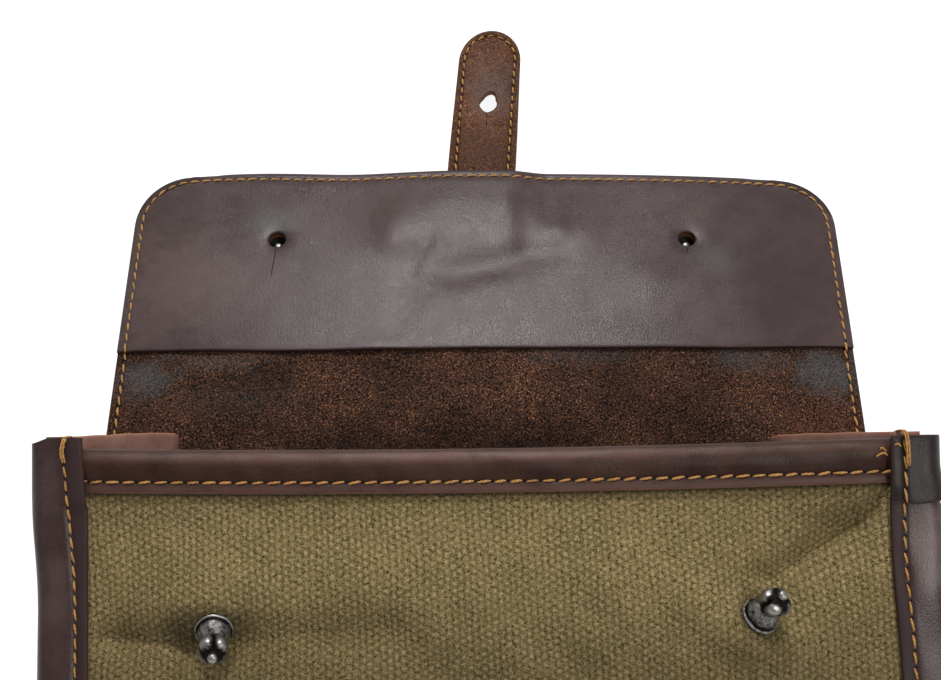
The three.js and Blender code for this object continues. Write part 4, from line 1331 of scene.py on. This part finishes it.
# A round thread swept along a smooth line, its section turned by the line's own slope and ends closed
def threadTube(name, paths, thick, offsets=(0.0,)):
    points, faces, maps, count = [], [], [], 0
    sides = lashLook["sides"]
    turn = np.linspace(0, 2 * np.pi, sides, endpoint=False)[None, :, None]
    for path in paths:
        for offset in offsets:
            line = smoothLine(np.array(path) + (offset, 0, 0), 8)
            line = onFront(line[:, 0], line[:, 1], line[:, 2])
            way = np.gradient(line, axis=0)
            way /= np.linalg.norm(way, axis=1, keepdims=True)
            side = np.cross(way, (0.1, 0.2, 1.0))
            side /= np.linalg.norm(side, axis=1, keepdims=True)
            up = np.cross(side, way)
            k = np.linspace(0, 1, len(line))[:, None, None]
            end = np.sqrt(np.clip(1 - (2 * np.abs(k - 0.5)) ** lashLook["blunt"], 0.04, 1))
            ply = 1 + lashLook["ply"] * np.cos(2 * turn + lashLook["twist"] * k)
            radius = thick / 2 * ply * end
            tube = line[:, None] + radius * (side[:, None] * np.cos(turn) + up[:, None] * np.sin(turn))
            points.append(tube.reshape(-1, 3))
            faces.append(tubeFaces(len(line), sides) + count)
            lay = np.stack([k * lashLook["lays"] + 0 * turn, turn / (2 * np.pi) + 0 * k], -1)
            maps.append(lay.reshape(-1, 2))
            count += len(line) * sides
    return threadMesh(name, points, faces, maps)


threadTube("lashedThread", [lashLook["left"], lashLook["right"]], lashLook["thick"], lashLook["strands"])
threadTube("looseThread", lashLook["loose"], lashLook["thick"])

# Studs: rows of radius, height, lobe depth and how dark the hollow is
studLook = {
    "stem": [
        (0, -3.6, 0, 1), (3.4, -3.6, 0, 0.3), (3.4, -2.5, 0, 0.3), (1.4, -2.5, 0, 1), (1.4, 0.3, 0, 1)
    ],
    "head": [
        (5.2, 0.45, 0, 0.6), (5.5, 0.8, 0, 0.2), (5.3, 1.25, 0, 0.15), (4.9, 1.35, 0, 0.8),
        (4.75, 1.7, 0, 0.9), (4.7, 2.3, 0, 0.55), (4.4, 3.2, 0, 0.45), (3.7, 4.4, 0, 0.38),
        (2.9, 5.4, 0, 0.5), (2.5, 6.0, 0.02, 0.9), (3.0, 6.4, 0.08, 0.8), (3.7, 7.1, 0.15, 0.35),
        (4.1, 8.2, 0.19, 0.1), (4.2, 9.5, 0.21, 0.0), (3.8, 10.7, 0.23, 0.1), (2.8, 11.4, 0.22, 0.5),
        (1.6, 11.6, 0.1, 1), (1.25, 11.9, 0, 0.9), (1.4, 12.8, 0, 0.25), (1.35, 13.5, 0, 0.15),
        (0.9, 14.0, 0, 0.1), (0, 14.1, 0, 0.2)
    ],
    "plain": [
        (4.8, 0.45, 0, 0.6), (5.0, 0.9, 0, 0.0), (4.8, 1.4, 0, 0.0), (3.4, 1.9, 0, 0.5), (2.1, 2.6, 0, 0.9),
        (1.8, 4.2, 0, 0.9), (2.6, 5.1, 0, 0.3), (3.4, 6.3, 0, 0.0), (3.5, 7.4, 0, 0.0), (2.9, 8.8, 0, 0.0),
        (1.6, 9.8, 0, 0.0), (0, 10.1, 0, 0.0)
    ],
    "phases": (1.57, 0.95), "ribs": 0.14
}


# Where a stud stands on the cloth's outer face, and which way it points
def studSeat(sx, sy):
    riseX = (clothLevel(np.array(sx + 1.0), sy) - clothLevel(np.array(sx - 1.0), sy)) / 2
    riseY = (clothLevel(np.array(sx), sy + 1.0) - clothLevel(np.array(sx), sy - 1.0)) / 2
    out = np.array([-riseX, -riseY, 1.0])
    out /= np.linalg.norm(out)
    foot = np.array([sx, sy, canvas / 2 + clothLevel(np.array(sx), sy)]) + out * canvas / 2
    along, height = out[1] * slopeCos - out[2] * slopeSin, out[1] * slopeSin + out[2] * slopeCos
    return onFront(*foot), np.array([out[0], along, height])


# A stud's rows: its stem and its smoothed head, with no radius, lobe or darkness below 0
def studRows(kind):
    return np.vstack([studLook["stem"], np.maximum(smoothLine(studLook[kind], 4), (0, -9, 0, 0))])


studNames = (("studLeft", "stud_left"), ("studRight", "stud_right"))
for (sx, sy, _, _), phase, (name, node) in zip(studSeats, studLook["phases"], studNames):
    foot, axis = studSeat(sx, sy)
    stud = turnedMesh(name, studRows("head"), 64, foot, axis, silverFinish, 4, phase, studLook["ribs"])
    settle(stud, "cast_metal", node)
foot, axis = studSeat(0.0, frontHeight - clothLook["tabStudDrop"])
settle(turnedMesh("studTab", studRows("plain"), 48, foot, axis, silverFinish), "cast_metal", "stud_tab")

# Cups behind the keyholes, bowls standing on the ground under the flap
cupLook = {
    "radius": 9.4, "bead": 2.1,
    "rows": [
        (0, 0), (3, 0), (6.2, 0.2), (8.5, 0.7), (9.4, 0.8), (9.4, 1.0), (8.0, 1.0), (4.6, 0.98),
        (3.8, 0.90), (3.0, 0.74), (1.7, 0.66), (0.9, 0.72), (0.8, 0.95), (1.15, 1.08), (1.35, 1.18),
        (1.2, 1.29), (0.7, 1.36), (0, 1.39)
    ]
}
cupEdge = np.array(flapLook["keyholeX"][0] - cupLook["radius"])
cupHeight = float(flapLift(cupEdge, flapLook["keyholeY"])) - gap
for hole, name, node in zip(keyholes, ("cupLeft", "cupRight"), ("flap_cap_left", "flap_cap_right")):
    # The bowl is painted near black as shade under the flap; only the bead in its middle is left bright to
    # catch the light
    cup = [
        (r, h * cupHeight, 0, 0.95 * smooth(cupLook["bead"] - 0.2, cupLook["bead"] + 0.3, r))
        for r, h in cupLook["rows"]
    ]
    cup = np.maximum(smoothLine(cup, 3), (0, 0, 0, 0))
    made = turnedMesh(name, cup, 40, (hole["x"], hole["y"], 0), (0, 0, 1), silverFinish)
    settle(made, "cast_metal", node)
print("studs and cups made")

# Floor, light and camera
stageLook = {
    "floor": (0.24, 0.24, 0.238, 1), "glow": 0.88, "world": (0.32, 0.34), "key": 14.5,
    "keyAt": (-0.04, 0.76, 1.22), "keySize": 0.22, "fill": 7.5, "fillAt": (0.55, -0.60, 1.05),
    "fillSize": 0.45, "floorHalf": 6, "floorLevel": -0.0006, "sky": (1.0, 0.99, 0.975, 1)
}
floorMesh = bpy.data.meshes.new("floor")
half, low = stageLook["floorHalf"], stageLook["floorLevel"]
floorCorners = [(-half, -half, low), (half, -half, low), (half, half, low), (-half, half, low)]
floorMesh.from_pydata(floorCorners, [], [(0, 1, 2, 3)])
floor = bpy.data.objects.new("floor", floorMesh)
bpy.context.collection.objects.link(floor)
floorFinish, place = startFinish("paleFloor")
closeFinish(
    place, stageLook["floor"], 0.9, Emission_Color=(1, 1, 1, 1), Emission_Strength=stageLook["glow"]
)
floorMesh.materials.append(floorFinish)

world = bpy.data.worlds.new("studio")
bpy.context.scene.world = world
world.use_nodes = True
world.node_tree.nodes["Background"].inputs["Color"].default_value = stageLook["sky"]
sky = Wire(world.node_tree, world.node_tree.nodes["Background"].outputs[0])
height = sky.node(
    "ShaderNodeSeparateXYZ", {}, {0: sky.node("ShaderNodeTexCoord", {}, {}, "Generated")}, "Y"
)
strength = stageLook["world"][0] + ease(height, -0.6, 0.8) * stageLook["world"][1]
world.node_tree.links.new(strength.socket, world.node_tree.nodes["Background"].inputs["Strength"])


def softLight(name, power, at, size, towards=(0, 0, 0.02)):
    light = bpy.data.lights.new(name, "AREA")
    light.shape, light.size, light.energy = "DISK", size, power
    lamp = bpy.data.objects.new(name, light)
    lamp.location = at
    lamp.rotation_euler = (Vector(towards) - Vector(at)).to_track_quat("-Z", "Y").to_euler()
    bpy.context.collection.objects.link(lamp)


softLight("keyLight", stageLook["key"], stageLook["keyAt"], stageLook["keySize"])
softLight("fillLight", stageLook["fill"], stageLook["fillAt"], stageLook["fillSize"])

# Camera: its place in mm, its angles in degrees, and its focal length in pixels of a picture that wide
viewLook = {
    "at": (-2.667, -232.352, 466.67), "down": 58.656, "turn": -0.522, "roll": -0.586, "focal": 1507.5,
    "width": 941, "sensor": 36.0
}
down, aside, roll = (np.radians(viewLook[k]) for k in ("down", "turn", "roll"))
ahead = np.array([np.sin(aside) * np.cos(down), np.cos(aside) * np.cos(down), -np.sin(down)])
right = np.cross(ahead, (0, 0, 1))
right /= np.linalg.norm(right)
up = np.cross(right, ahead)
right, up = right * np.cos(roll) + up * np.sin(roll), up * np.cos(roll) - right * np.sin(roll)
camera = bpy.data.objects.new("camera", bpy.data.cameras.new("camera"))
bpy.context.collection.objects.link(camera)
turned = Matrix(np.stack([right, up, -ahead], 1).tolist()).to_4x4()
camera.matrix_world = Matrix.Translation(np.array(viewLook["at"]) * mm) @ turned
camera.data.sensor_width = viewLook["sensor"]
camera.data.lens = viewLook["sensor"] * viewLook["focal"] / viewLook["width"]
camera.data.clip_start, camera.data.clip_end = 0.01, 50
bpy.context.scene.camera = camera
bpy.context.scene.view_settings.view_transform = "Standard"
bpy.context.scene.view_settings.look = "None"

print("scene made")
